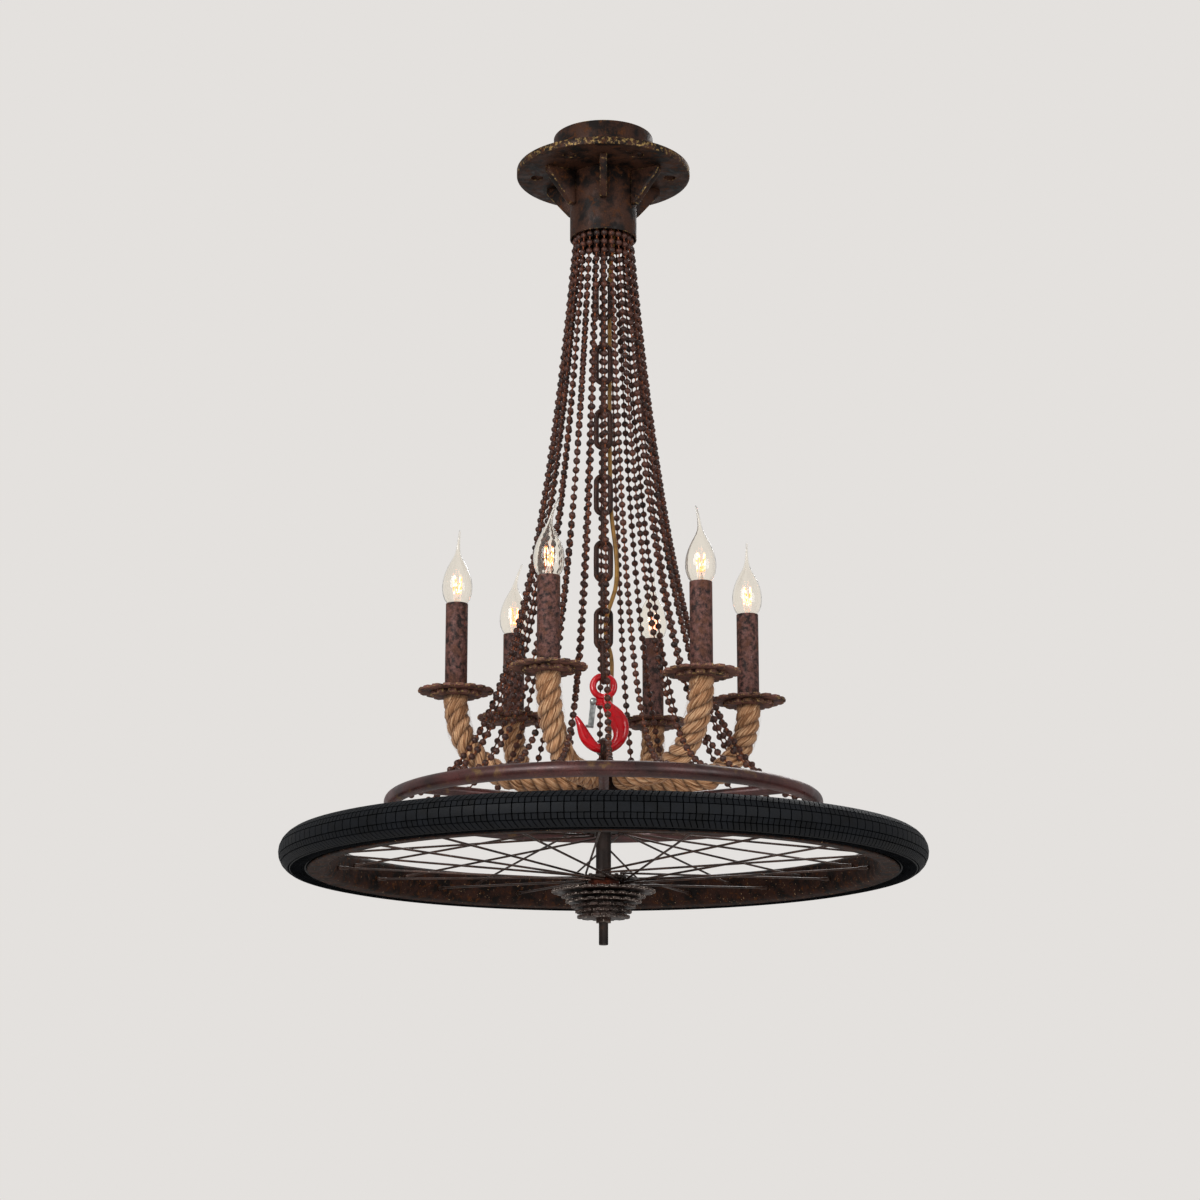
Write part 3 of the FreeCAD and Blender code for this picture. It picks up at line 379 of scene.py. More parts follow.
@dataclass(frozen=True)
class TyreRubber(Finish):
    """Vulcanised black rubber: charcoal, clouded with dust, with a dull sheen on the blocks.

    The grit is drawn coarser than it is, so that it shows.
    """

    name: str = "tyre_rubber"
    black: str = "040507"
    grey: str = "0E1116"
    dust: float = 18.0
    grit: float = 1.0
    grit_height: float = 0.2

    def paint(self, tree: Tree, shader: Node) -> None:
        """Cloud the charcoal with dust and roughen it with grit.

        Args:
            tree: the material's node tree.
            shader: its surface shader.
        """
        where = add(tree, "ShaderNodeTexCoord", {}).outputs["Object"]
        clouds = add(tree, "ShaderNodeTexNoise", {"Vector": where, "Scale": per_metre(self.dust),
                                                  "Detail": 7.0, "Roughness": 0.65})
        grit = add(tree, "ShaderNodeTexNoise", {"Vector": where, "Scale": per_metre(self.grit),
                                                "Detail": 2.0})
        tone = add(tree, "ShaderNodeValToRGB", {"Fac": clouds.outputs["Fac"]},
                   stops=[(0.35, self.black), (0.7, self.grey)])
        matt = add(tree, "ShaderNodeMapRange", {"Value": clouds.outputs["Fac"], "To Min": 0.4,
                                                "To Max": 0.75})
        relief = add(tree, "ShaderNodeBump", {"Height": grit.outputs["Fac"], "Strength": 0.4,
                                              "Distance": self.grit_height * MM})
        plug(tree, shader, {"Base Color": tone.outputs["Color"], "Roughness": matt.outputs["Result"],
                            "Normal": relief.outputs["Normal"], "Specular IOR Level": 0.15})


@dataclass(frozen=True)
class BulbGlass(Finish):
    """Blown soda-lime glass: clear and thin, faintly wavy, bright only at its reflections."""

    name: str = "blown_bulb_glass"
    tint: str = "FFFCF6"
    wave: float = 9.0
    wave_height: float = 0.5

    def paint(self, tree: Tree, shader: Node) -> None:
        """Set the clear glass and its slow waves.

        Args:
            tree: the material's node tree.
            shader: its surface shader.
        """
        where = add(tree, "ShaderNodeTexCoord", {}).outputs["Object"]
        waves = add(tree, "ShaderNodeTexNoise", {"Vector": where, "Scale": per_metre(self.wave),
                                                 "Detail": 1.0})
        relief = add(tree, "ShaderNodeBump", {"Height": waves.outputs["Fac"], "Strength": 0.15,
                                              "Distance": self.wave_height * MM})
        plug(tree, shader, {"Normal": relief.outputs["Normal"], "Base Color": linear(self.tint),
                            "Roughness": 0.0, "IOR": 1.5, "Transmission Weight": 1.0})


@dataclass(frozen=True)
class GlowWire(Finish):
    """Drawn tungsten at white heat: warm light, a little uneven along the wire."""

    name: str = "glowing_tungsten"
    hot: str = "FFE6C4"
    warm: str = "FF7A28"
    uneven: float = 4.0
    strength: float = 3.4

    def paint(self, tree: Tree, shader: Node) -> None:
        """Mix the two heats and let them shine.

        Args:
            tree: the material's node tree.
            shader: its surface shader.
        """
        where = add(tree, "ShaderNodeTexCoord", {}).outputs["Object"]
        patches = add(tree, "ShaderNodeTexNoise", {"Vector": where, "Scale": per_metre(self.uneven)})
        tone = add(tree, "ShaderNodeValToRGB", {"Fac": patches.outputs["Fac"]},
                   stops=[(0.42, self.warm), (0.6, self.hot)])
        plug(tree, shader, {"Emission Color": tone.outputs["Color"], "Emission Strength": self.strength,
                            "Base Color": linear(self.warm)})


@dataclass(frozen=True)
class Moulded(Finish):
    """Moulded plastic or turned brass: an even colour with a slight bloom of dust."""

    name: str
    colour: str
    dusty: str
    bloom: float = 12.0
    rough: float = 0.45
    metallic: float = 0.0

    def paint(self, tree: Tree, shader: Node) -> None:
        """Cloud the colour with dust.

        Args:
            tree: the material's node tree.
            shader: its surface shader.
        """
        where = add(tree, "ShaderNodeTexCoord", {}).outputs["Object"]
        clouds = add(tree, "ShaderNodeTexNoise", {"Vector": where, "Scale": per_metre(self.bloom),
                                                  "Detail": 5.0})
        tone = add(tree, "ShaderNodeValToRGB", {"Fac": clouds.outputs["Fac"]},
                   stops=[(0.4, self.colour), (0.72, self.dusty)])
        plug(tree, shader, {"Base Color": tone.outputs["Color"], "Roughness": self.rough,
                            "Metallic": self.metallic})


CANOPY_IRON = RustedIron("canopy_iron", "130B08", "3B2318", "4E2B12", "94794C", 22, 9, 1.4,
                         rust_start=0.54, fleck_start=0.71, rubbed_glint_start=0.52, rough=(0.38, 0.75), soft=0.06,
                         gloss=0.22)
BEAD_IRON = RustedIron("bead_iron", "20110C", "4E2B20", "703B22", "8D6E58", 16, 5, 1.2,
                       rust_start=0.54, fleck_start=0.78, rough=(0.38, 0.65), gloss=0.45)
LINK_RUST = RustedIron("bead_wire_rust", "4A2414", "7A4024", "934E2A", "A8623A", 14, 4, 1.2,
                       rust_start=0.5, fleck_start=0.8, metallic=0.0)
CHAIN_IRON = RustedIron("chain_iron", "1B0F0B", "40261D", "5C311A", "9A7B63", 18, 5, 1.2,
                        rust_start=0.55, fleck_start=0.74, rough=(0.4, 0.7))
HOOP_IRON = RustedIron("hoop_iron", "2C1716", "522C29", "664A24", "93774C", 40, 16, 1.6,
                       rust_start=0.57, fleck_start=0.76, rough=(0.24, 0.5), pitting=0.15, gloss=0.5)
RIM_IRON = RustedIron("rim_iron", "0F0806", "2F1A12", "4E2C12", "C8A882", 16, 6, 1.5,
                      rust_start=0.55, fleck_start=0.65, rough=(0.6, 0.9), metallic=0.0, soft=0.07,
                      gloss=0.15)
CUP_IRON = RustedIron("cup_iron", "2E1D19", "774E45", "7C583D", "B39763", 12, 5, 1.2,
                      rust_start=0.54, fleck_start=0.68, rubbed_glint_start=0.525, rough=(0.5, 0.85),
                      metallic=0.0, gloss=0.25)
SLEEVE_IRON = RustedIron("sleeve_iron", "1E110E", "66433C", "573628", "85808C", 5, 14, 1.5,
                         rust_start=0.5, fleck_start=0.7, rough=(0.45, 0.8), metallic=0.05, soft=0.09,
                         gloss=0.25)
SPROCKET_STEEL = RustedIron("sprocket_steel", "1B120F", "3A2A24", "46291A", "B9ABA0", 22, 5, 1.2,
                            rust_start=0.56, fleck_start=0.74, rubbed_glint_start=0.48, rough=(0.35, 0.6),
                            metallic=0.3)
SPOKE_STEEL = RustedIron("spoke_steel", "231813", "45322A", "5A3822", "C9BDB2", 24, 6, 1.2,
                         rust_start=0.6, fleck_start=0.66, rough=(0.3, 0.55), metallic=0.5)
AXLE_STEEL = RustedIron("axle_steel", "150E0C", "2C201B", "3A2517", "8C7E74", 24, 6, 1.2,
                        rust_start=0.56, fleck_start=0.76, rough=(0.4, 0.65), metallic=0.3)
SPACER_RUST = RustedIron("spacer_rust", "3E1B12", "66301F", "7E3C24", "B8704A", 20, 6, 1.2,
                         rust_start=0.5, fleck_start=0.8)
RED_ENAMEL = HookEnamel()
ZINC = ZincPlate()
HEMP = HempRope()
RUBBER = TyreRubber()
GLASS = BulbGlass()
GLOW = GlowWire()
CORD_SHEATH = Moulded("gold_cord_sheath", "9A6F2C", "6E4E22", 6.0, 0.5)
BLOCK_PLASTIC = Moulded("block_plastic", "D8D2C4", "B8B0A0")
HOLDER_PLASTIC = Moulded("holder_plastic", "D6CFC0", "A9A091")
CAP_BRASS = Moulded("cap_brass", "B98F45", "7E6132", 5.0, 0.3, 0.9)

# Solids that are shown as they are
PLAIN_SOLIDS: dict[str, Finish] = {
    "ceiling_bracket": ZINC, "terminal_block": BLOCK_PLASTIC, "threaded_nipple": ZINC, "flange_nut": ZINC,
    "cord_gland_upper": BLOCK_PLASTIC, "cord_gland_lower": BLOCK_PLASTIC, "lamp_holders": HOLDER_PLASTIC,
    "bulb_caps": CAP_BRASS, "spokes": SPOKE_STEEL, "hub_bearings": SPOKE_STEEL,
}

# Solids that are shown as worn copies, with the width of their rounded edges in millimetres
WORN_SOLIDS: dict[str, tuple[Body, Finish, Slot, float]] = {
    "canopy_cap": (Body.CANOPY, CANOPY_IRON, Slot.IRON, 1.0),
    "flange_plate": (Body.CANOPY, CANOPY_IRON, Slot.IRON, 0.8),
    "neck_tube": (Body.CANOPY, CANOPY_IRON, Slot.IRON, 0.4),
    "gusset_ribs": (Body.CANOPY, CANOPY_IRON, Slot.IRON, 1.0),
    "bead_ring": (Body.CANOPY, CANOPY_IRON, Slot.IRON, 0.5),
    "chain_loop": (Body.CANOPY, CHAIN_IRON, Slot.STEEL, 0.5),
    "latch_pin": (Body.PENDANT, ZINC, Slot.ZINC, 0.5),
    "hook_latch": (Body.LATCH, ZINC, Slot.ZINC, 0.4),
    "post_eye": (Body.PENDANT, CHAIN_IRON, Slot.STEEL, 0.5),
    "arm_hub": (Body.PENDANT, CHAIN_IRON, Slot.IRON, 1.0),
    "strut_hub": (Body.PENDANT, CHAIN_IRON, Slot.IRON, 0.8),
    "arm_tubes": (Body.PENDANT, CHAIN_IRON, Slot.IRON, 0.4),
    "under_cups": (Body.PENDANT, CUP_IRON, Slot.IRON, 1.4),
    "cups": (Body.PENDANT, CUP_IRON, Slot.IRON, 0.9),
    "candle_sleeves": (Body.PENDANT, SLEEVE_IRON, Slot.IRON, 0.3),
    "hoop_struts": (Body.PENDANT, HOOP_IRON, Slot.IRON, 0.3),
    "axle": (Body.PENDANT, AXLE_STEEL, Slot.STEEL, 0.8),
    "axle_nut_upper": (Body.PENDANT, CHAIN_IRON, Slot.STEEL, 0.8),
    "axle_nut_lower": (Body.PENDANT, SPROCKET_STEEL, Slot.ZINC, 0.6),
    "hub_shell": (Body.WHEEL, AXLE_STEEL, Slot.STEEL, 0.8),
    "hub_spacer": (Body.WHEEL, SPACER_RUST, Slot.RUST, 0.6),
    "freewheel_body": (Body.FREEWHEEL, SPROCKET_STEEL, Slot.STEEL, 0.6),
    "sprocket_collars": (Body.FREEWHEEL, SPROCKET_STEEL, Slot.STEEL, 0.4),
    **{f"sprocket_{place}": (Body.FREEWHEEL, SPROCKET_STEEL, Slot.STEEL, 0.5)
       for place in ("first", "second", "third", "fourth", "fifth", "last")},
}

# Distance from the middle beyond which a solid is rubbed all over, partly wear and partly a painted
# highlight, in millimetres
RUBBED_GLINT_BEYOND: dict[str, float] = {"flange_plate": 92.5}

# Corners nearer to each other than this, in metres, are merged
SAME_SPOT = 2e-6

# Of the worn solids, in degrees: faces that meet flatter than the first are merged, and edges sharper
# than the second are rounded
FLAT_ANGLE = 0.8
EDGE_ANGLE = 32.0

# Shared by sub-assemblies: the first arm's angle in degrees, its candle's distance from the middle, and
# the radius and the height of the hoop
ARM_ANGLE = 9.28
ARM_REACH = 153.61
HOOP_PLACE = (217.0, -733.0)


# Modelling


def only(piece: Piece) -> None:
    """Select one piece alone and make it active.

    Args:
        piece: the piece.
    """
    bpy.ops.object.select_all(action="DESELECT")
    piece.select_set(True)
    bpy.context.view_layer.objects.active = piece


def started(name: str) -> Piece:
    """Name the piece that was just made.

    Args:
        name: its name, and its data's.

    Returns:
        The piece.
    """
    piece = bpy.context.object
    piece.name = name
    piece.data.name = name
    return piece


@contextmanager
def editing(piece: Piece) -> Iterator[None]:
    """Work on one piece in edit mode, with all of it selected to start with.

    Args:
        piece: the piece.

    Yields:
        Nothing.
    """
    only(piece)
    bpy.ops.object.mode_set(mode="EDIT")
    bpy.ops.mesh.select_all(action="SELECT")
    yield
    bpy.ops.object.mode_set(mode="OBJECT")


@contextmanager
def editing_chosen(piece: Piece) -> Iterator[None]:
    """Work on one piece in edit mode, on the faces that were selected in code.

    Args:
        piece: the piece.

    Yields:
        Nothing.
    """
    only(piece)
    bpy.context.tool_settings.mesh_select_mode = (False, False, True)
    bpy.ops.object.mode_set(mode="EDIT")
    yield
    bpy.ops.object.mode_set(mode="OBJECT")
    bpy.context.tool_settings.mesh_select_mode = (True, False, False)


def placed(name: str, data: Union[bpy.types.Mesh, bpy.types.Curve]) -> Piece:
    """Put a mesh or a curve into the scene.

    Args:
        name: the piece's name.
        data: its mesh or its curve.

    Returns:
        The new piece.
    """
    piece = bpy.data.objects.new(name, data)
    bpy.context.scene.collection.objects.link(piece)
    return piece


def meshed(name: str, corners: Sequence[Vector], faces: Sequence[tuple[int, ...]]) -> Piece:
    """Make a piece from its corners and faces.

    Args:
        name: the piece's name.
        corners: places in metres.
        faces: numbers of each face's corners.

    Returns:
        The new piece.
    """
    mesh = bpy.data.meshes.new(name)
    mesh.from_pydata(corners, [], faces)
    return placed(name, mesh)


def converted(name: str, curve: bpy.types.Curve) -> Piece:
    """Make a mesh piece from a curve with a round section.

    Args:
        name: the piece's name.
        curve: its middle line and section.

    Returns:
        The new piece.
    """
    only(placed(name, curve))
    bpy.ops.object.convert(target="MESH")
    return started(name)


def round_ring(name: str, radius: float, wire: float, segments: tuple[int, int], level: float = 0.0,
               upright: bool = False) -> Piece:
    """Make a round ring of round wire on the light's axis.

    Args:
        name: the piece's name.
        radius: of the wire's middle line, in millimetres.
        wire: thickness of the wire, in millimetres.
        segments: divisions round the ring and round the wire.
        level: height of its middle, in millimetres.
        upright: whether it stands in the XZ plane or lies flat.

    Returns:
        The ring.
    """
    bpy.ops.object.select_all(action="DESELECT")
    bpy.ops.mesh.primitive_torus_add(major_radius=radius * MM, minor_radius=wire / 2 * MM,
                                     major_segments=segments[0], minor_segments=segments[1],
                                     rotation=(math.pi / 2 if upright else 0, 0, 0),
                                     location=(0, 0, level * MM))
    piece = started(name)
    bpy.ops.object.transform_apply(location=True, rotation=True, scale=True)
    return piece


def cleaned(piece: Piece, angle: float = 40.0) -> Piece:
    """Merge doubles, turn faces outwards and smooth all but the sharp edges.

    Args:
        piece: a closed mesh.
        angle: edges sharper than this, in degrees, stay sharp.

    Returns:
        The same piece.
    """
    with editing(piece):
        bpy.ops.mesh.remove_doubles(threshold=SAME_SPOT)
        bpy.ops.mesh.normals_make_consistent(inside=False)
    bpy.ops.object.shade_smooth_by_angle(angle=math.radians(angle))
    return piece


def turned(name: str, side: Sequence[Place], steps: int, angle: float = 40.0) -> Piece:
    """Spin a side view round the upright axis.

    Args:
        name: the piece's name.
        side: radii and heights in millimetres; ends that meet close the section.
        steps: divisions round the axis.
        angle: edges sharper than this stay sharp.

    Returns:
        The turned piece.
    """
    spots = [Vector((radius, 0, height)) * MM for radius, height in side]
    bpy.ops.object.select_all(action="DESELECT")
    bpy.ops.mesh.primitive_plane_add(size=MM)
    piece = started(name)
    with editing(piece):
        bpy.ops.mesh.merge(type="CENTER")
        bpy.ops.transform.translate(value=spots[0])
        for before, after in zip(spots, spots[1:]):
            bpy.ops.mesh.extrude_vertices_move(TRANSFORM_OT_translate={"value": after - before})
        bpy.ops.mesh.select_all(action="SELECT")
        bpy.ops.mesh.spin(steps=steps, angle=math.tau, center=(0, 0, 0), axis=(0, 0, 1))
    return cleaned(piece, angle)


def copied(name: str, model: Piece, places: Sequence[Matrix]) -> Piece:
    """Copy a model to many places as one piece, and remove the model.

    Args:
        name: the new piece's name.
        model: the piece modelled once.
        places: where each copy goes.

    Returns:
        The piece with all the copies.
    """
    corners = [v.co.copy() for v in model.data.vertices]
    count = len(corners)
    faces = [tuple(p.vertices) for p in model.data.polygons]
    smooth = [p.use_smooth for p in model.data.polygons] * len(places)
    piece = meshed(name, [place @ c for place in places for c in corners],
                   [tuple(i + k * count for i in face) for k in range(len(places)) for face in faces])
    piece.data.polygons.foreach_set("use_smooth", smooth)
    bpy.data.objects.remove(model)
    return piece


def lofted(name: str, rings: Sequence[Sequence[Vector]]) -> Piece:
    """Skin a run of rings, closed at both ends.

    Args:
        name: the piece's name.
        rings: outlines with as many corners each, in metres.

    Returns:
        The skinned piece.
    """
    count = len(rings[0])
    faces = [(k * count + i, k * count + (i + 1) % count, (k + 1) * count + (i + 1) % count,
              (k + 1) * count + i) for k in range(len(rings) - 1) for i in range(count)]
    faces += [tuple(range(count)), tuple(range((len(rings) - 1) * count, len(rings) * count))]
    return meshed(name, [corner for ring in rings for corner in ring], faces)


def smoothed(piece: Piece) -> Piece:
    """Subdivide a piece's surface once.

    Args:
        piece: the piece.

    Returns:
        The same piece.
    """
    only(piece)
    rounding = piece.modifiers.new("rounding", "SUBSURF")
    rounding.levels = 1
    rounding.render_levels = 1
    bpy.ops.object.modifier_apply(modifier=rounding.name)
    return piece


def joined(name: str, pieces: Sequence[Piece]) -> Piece:
    """Join pieces into one.

    Args:
        name: the new piece's name.
        pieces: what to join.

    Returns:
        The piece made of all of them.
    """
    only(pieces[0])
    for piece in pieces:
        piece.select_set(True)
    bpy.ops.object.join()
    return started(name)


def dressed(piece: Piece, finish: Finish, stands_for: Sequence[str]) -> None:
    """Give a finished piece its finish and the solids that it stands for.

    Args:
        piece: the piece, in place.
        finish: its surface.
        stands_for: solids that it replaces.
    """
    only(piece)
    bpy.ops.object.transform_apply(location=True, rotation=True, scale=True)
    piece.data.materials.clear()
    piece.data.materials.append(finish.material())
    if stands_for:
        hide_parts(*stands_for)


def fitted(piece: Piece, body: Body, finish: Finish,
           stands_for: Sequence[str] = ()) -> None:
    """Dress a finished piece and let it ride on a body.

    Args:
        piece: the piece, in place.
        body: what it moves with.
        finish: its surface.
        stands_for: solids that it replaces.
    """
    dressed(piece, finish, stands_for)
    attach(piece, body.value)
    LOG.info("%s rides on %s", piece.name, body.value)


@dataclass(frozen=True)
class Flex:
    """Stretch between the body above a joint and the one below, in millimetres."""

    above: Body
    below: Body
    start: float
    end: float

    def bend(self, piece: Piece, finish: Finish, slot: Slot, stands_for: Sequence[str] = ()) -> None:
        """Dress a finished piece and bake its place into its mesh.

        Args:
            piece: the piece, in place.
            finish: its surface.
            slot: the record's slot for that surface, not used.
            stands_for: solids that it replaces.
        """
        dressed(piece, finish, stands_for)
        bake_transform(piece)
        LOG.info("%s bends from %s to %s", piece.name, self.above.value, self.below.value)


def carried(node: str, edge: float) -> Piece:
    """Copy a solid as one merged mesh with its edges rounded, and mark where it is rubbed: worn metal with a
    painted highlight.

    Args:
        node: the solid's name.
        edge: width of the rounding in millimetres.

    Returns:
        The copy, which rides on nothing yet.
    """
    only(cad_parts[node])
    bpy.ops.object.duplicate()
    piece = started(f"{node}_worn")
    piece.parent = None
    for key in list(piece.keys()):
        del piece[key]
    with editing(piece):
        bpy.ops.mesh.remove_doubles(threshold=SAME_SPOT)
        bpy.ops.mesh.dissolve_limited(angle_limit=math.radians(FLAT_ANGLE))
    rounding = piece.modifiers.new("rounding", "BEVEL")
    rounding.width = edge * MM
    rounding.segments = 2
    rounding.limit_method = "ANGLE"
    rounding.angle_limit = math.radians(EDGE_ANGLE)
    piece.data.materials.append(None)
    rounding_slot = len(piece.data.materials) - 1
    rounding.material = rounding_slot
    bpy.ops.object.modifier_apply(modifier=rounding.name)
    # The rounded edges, and all of the flange's rim, get the rubbed colour: partly wear, partly a painted
    # highlight
    beyond = RUBBED_GLINT_BEYOND.get(node, math.inf) * MM
    edges = [float(face.material_index == rounding_slot or face.center.xy.length > beyond)
             for face in piece.data.polygons]
    piece.data.attributes.new("rubbed_glint", "FLOAT", "FACE").data.foreach_set("value", edges)
    piece.data.polygons.foreach_set("material_index", [0] * len(edges))
    bpy.ops.object.shade_smooth_by_angle(angle=math.radians(EDGE_ANGLE))
    return piece


def polar(radius: float, angle: float, height: float) -> Vector:
    """Return the place, in metres, at a radius, an angle in degrees and a height in millimetres."""
    return Vector((radius * math.cos(math.radians(angle)), radius * math.sin(math.radians(angle)),
                   height)) * MM


def about_axis(angle: float) -> Matrix:
    """Return a turn about the light's axis, in degrees."""
    return Matrix.Rotation(math.radians(angle), 4, "Z")


def along(place: Vector, way: Vector) -> Matrix:
    """Return the place of a copy whose own Z axis points along a way."""
    return Matrix.Translation(place) @ way.to_track_quat("Z", "Y").to_matrix().to_4x4()


def spline_line(route: Sequence[Vector]) -> list[Vector]:
    """Return points along the smooth spline that a route's points control.

    Args:
        route: control points in metres.

    Returns:
        Points read from the spline.
    """
    holder = placed("route", nurbs("route", route))
    bpy.context.view_layer.update()
    mesh = bpy.data.meshes.new_from_object(holder)
    points = [v.co.copy() for v in mesh.vertices]
    bpy.data.objects.remove(holder)
    bpy.data.meshes.remove(mesh)
    return points


def nurbs(name: str, route: Sequence[Vector]) -> bpy.types.Curve:
    """Draw a curve with one smooth open spline.

    Args:
        name: the curve's name.
        route: control points in metres.

    Returns:
        The curve, without a section.
    """
    curve = bpy.data.curves.new(name, "CURVE")
    curve.dimensions = "3D"
    curve.resolution_u = 12
    spline = curve.splines.new("NURBS")
    spline.points.add(len(route) - 1)
    for point, place in zip(spline.points, route):
        point.co = (*place, 1.0)
    spline.order_u = 3
    spline.use_endpoint_u = True
    return curve


# Sub-assemblies

NECK_FLEX = Flex(Body.CANOPY, Body.TOP_LINK, -116.0, -165.0)
LINK_FLEX = Flex(Body.TOP_LINK, Body.PENDANT, -165.0, -260.0)
LEAD_FLEX = Flex(Body.CANOPY, Body.TOP_LINK, -55.0, -97.0)
CORD_FLEX = Flex(Body.TOP_LINK, Body.PENDANT, -103.0, -190.0)


@dataclass
class BeadCurtain:
    """Strings of iron beads that hang from the canopy's neck to the hoop."""

    count: int = 24
    first_angle: float = 16.78
    top: Place = (29.2, -109.4)
    end: Place = (207.0, -725.0)
    slope: float = 0.03
    hoop: Place = HOOP_PLACE
    pitch: float = 10.2
    bead: float = 7.4
    bead_segments: tuple[int, int] = (8, 6)
    bead_height: float = 0.94
    bead_sizes: Place = (0.95, 1.02)
    wire_radii: Place = (1.1, 0.6)
    wire_seat: float = 0.44
    hoop_seat: float = 0.46
    tightest: float = 20.0
    halvings: int = 60
    steps: int = 800
    seed: int = 7

    def line(self) -> list[Vector]:
        """Find the curve in which one strand hangs, in its own upright plane.

        Returns:
            Close points from the neck to the hoop, in metres.
        """
        span = self.end[0] - self.top[0]
        foot = -math.asinh(self.slope)
        low, high = span / self.tightest, span
        for _ in range(self.halvings):
            scale = (low + high) / 2
            fall = scale * (math.cosh(foot - span / scale) - math.cosh(foot))
            low, high = (scale, high) if fall > self.top[1] - self.end[1] else (low, scale)
        points = []
        for i in range(self.steps + 1):
            radius = self.top[0] + span * i / self.steps
            rise = scale * (math.cosh(foot - (self.end[0] - radius) / scale) - math.cosh(foot))
            points.append(Vector((radius, 0, self.end[1] + rise)) * MM)
        return points

    def stations(self) -> list[Vector]:
        """Space the beads of one strand evenly along its curve, from end to end.

        Returns:
            The beads' centres, in metres.
        """
        points = self.line()
        runs = list(itertools.accumulate(((b - a).length for a, b in zip(points, points[1:])), initial=0.0))
        count = round(runs[-1] / (self.pitch * MM))
        places = [points[0]]
        for i in range(1, count + 1):
            run = runs[-1] * i / count
            at = min(bisect.bisect_left(runs, run), len(points) - 1)
            places.append(points[at - 1].lerp(points[at], (run - runs[at - 1]) / (runs[at] - runs[at - 1])))
        return places

    def bead_model(self) -> Piece:
        """Make one bead, a little flattened.

        Returns:
            The bead, round the origin.
        """
        bpy.ops.object.select_all(action="DESELECT")
        segments, rings = self.bead_segments
        bpy.ops.mesh.primitive_uv_sphere_add(segments=segments, ring_count=rings, radius=self.bead / 2 * MM)
        bead = started("bead")
        with editing(bead):
            bpy.ops.transform.resize(value=(1, 1, self.bead_height))
        bpy.ops.object.shade_smooth()
        return bead

    def wire_model(self) -> Piece:
        """Make one wire link, waisted between two beads.

        Returns:
            The link, round the origin.
        """
        half = self.pitch / 2 - self.bead * self.wire_seat
        end, waist = self.wire_radii
        return turned("bead_wire", [(0, -half), (end, -half), (waist, 0), (end, half), (0, half)],
                      steps=6, angle=60)

    def build(self) -> None:
        """String beads and wire links on every strand, in two lengths parted where the two stretches meet.
        """
        places = self.stations()
        turns = [about_axis(self.first_angle + i * 360 / self.count) for i in range(self.count)]
        ways = [b - a for a, b in zip(places, places[1:])] + [places[-1] - places[-2]]
        middles = [along((a + b) / 2, b - a) for a, b in zip(places, places[1:])]
        to_hoop = (Vector((self.hoop[0], 0, self.hoop[1])) * MM - places[-1]).normalized()
        middles.append(along(places[-1] + to_hoop * self.bead * self.hoop_seat * MM, to_hoop))
        rng = random.Random(self.seed)
        for name, flex, upper in (("upper_", NECK_FLEX, True), ("", LINK_FLEX, False)):
            spots = [turn @ along(place, way) @ about_axis(rng.uniform(0, 360))
                     @ Matrix.Scale(rng.uniform(*self.bead_sizes), 4)
                     for turn in turns for place, way in zip(places, ways)
                     if (place.z > flex.end * MM if upper else place.z <= flex.start * MM)]
            links = [turn @ middle for turn in turns for middle in middles
                     if (middle.translation.z > flex.end * MM if upper
                         else middle.translation.z <= flex.start * MM)]
            flex.bend(copied(f"{name}beads", self.bead_model(), spots), BEAD_IRON, Slot.BEADS,
                      [] if upper else ["bead_strands"])
            flex.bend(copied(f"{name}bead_wires", self.wire_model(), links), LINK_RUST, Slot.BEADS)


@dataclass
class HangingChain:
    """Welded long-link chain between the canopy's loop and the hook."""

    first: float = -112.95
    step: float = 36.2
    count: int = 14
    half_width: float = 7.5
    half_length: float = 20.75
    wire: float = 5.0
    segments: tuple[int, int] = (32, 12)
    waist: float = 0.3
    swell: float = 0.3

    def link(self) -> Piece:
        """Stretch a ring into a link in the XZ plane, its wire a little thicker than the solid's.

        Returns:
            The link, round the origin.
        """
        link = round_ring("link", self.half_width, self.wire, self.segments, upright=True)
        stretch = (self.half_length - self.half_width) * MM
        for corner in link.data.vertices:
            if abs(corner.co.z) >= self.waist * MM:
                corner.co.z += math.copysign(stretch, corner.co.z)
        with editing(link):
            bpy.ops.transform.shrink_fatten(value=self.swell * MM)
        bpy.ops.object.shade_smooth()
        return link

    def build(self) -> None:
        """Hang the links, every other one turned a quarter."""
        places = [Matrix.Translation((0, 0, (self.first - i * self.step) * MM)) @ about_axis(90 * (i % 2))
                  for i in range(self.count)]
        fitted(copied("top_link_round", self.link(), places[:1]), Body.TOP_LINK, CHAIN_IRON,
               ["top_link"])
        fitted(copied("chain_links_round", self.link(), places[1:]), Body.PENDANT, CHAIN_IRON,
               ["chain_links_side", "chain_links_front"])


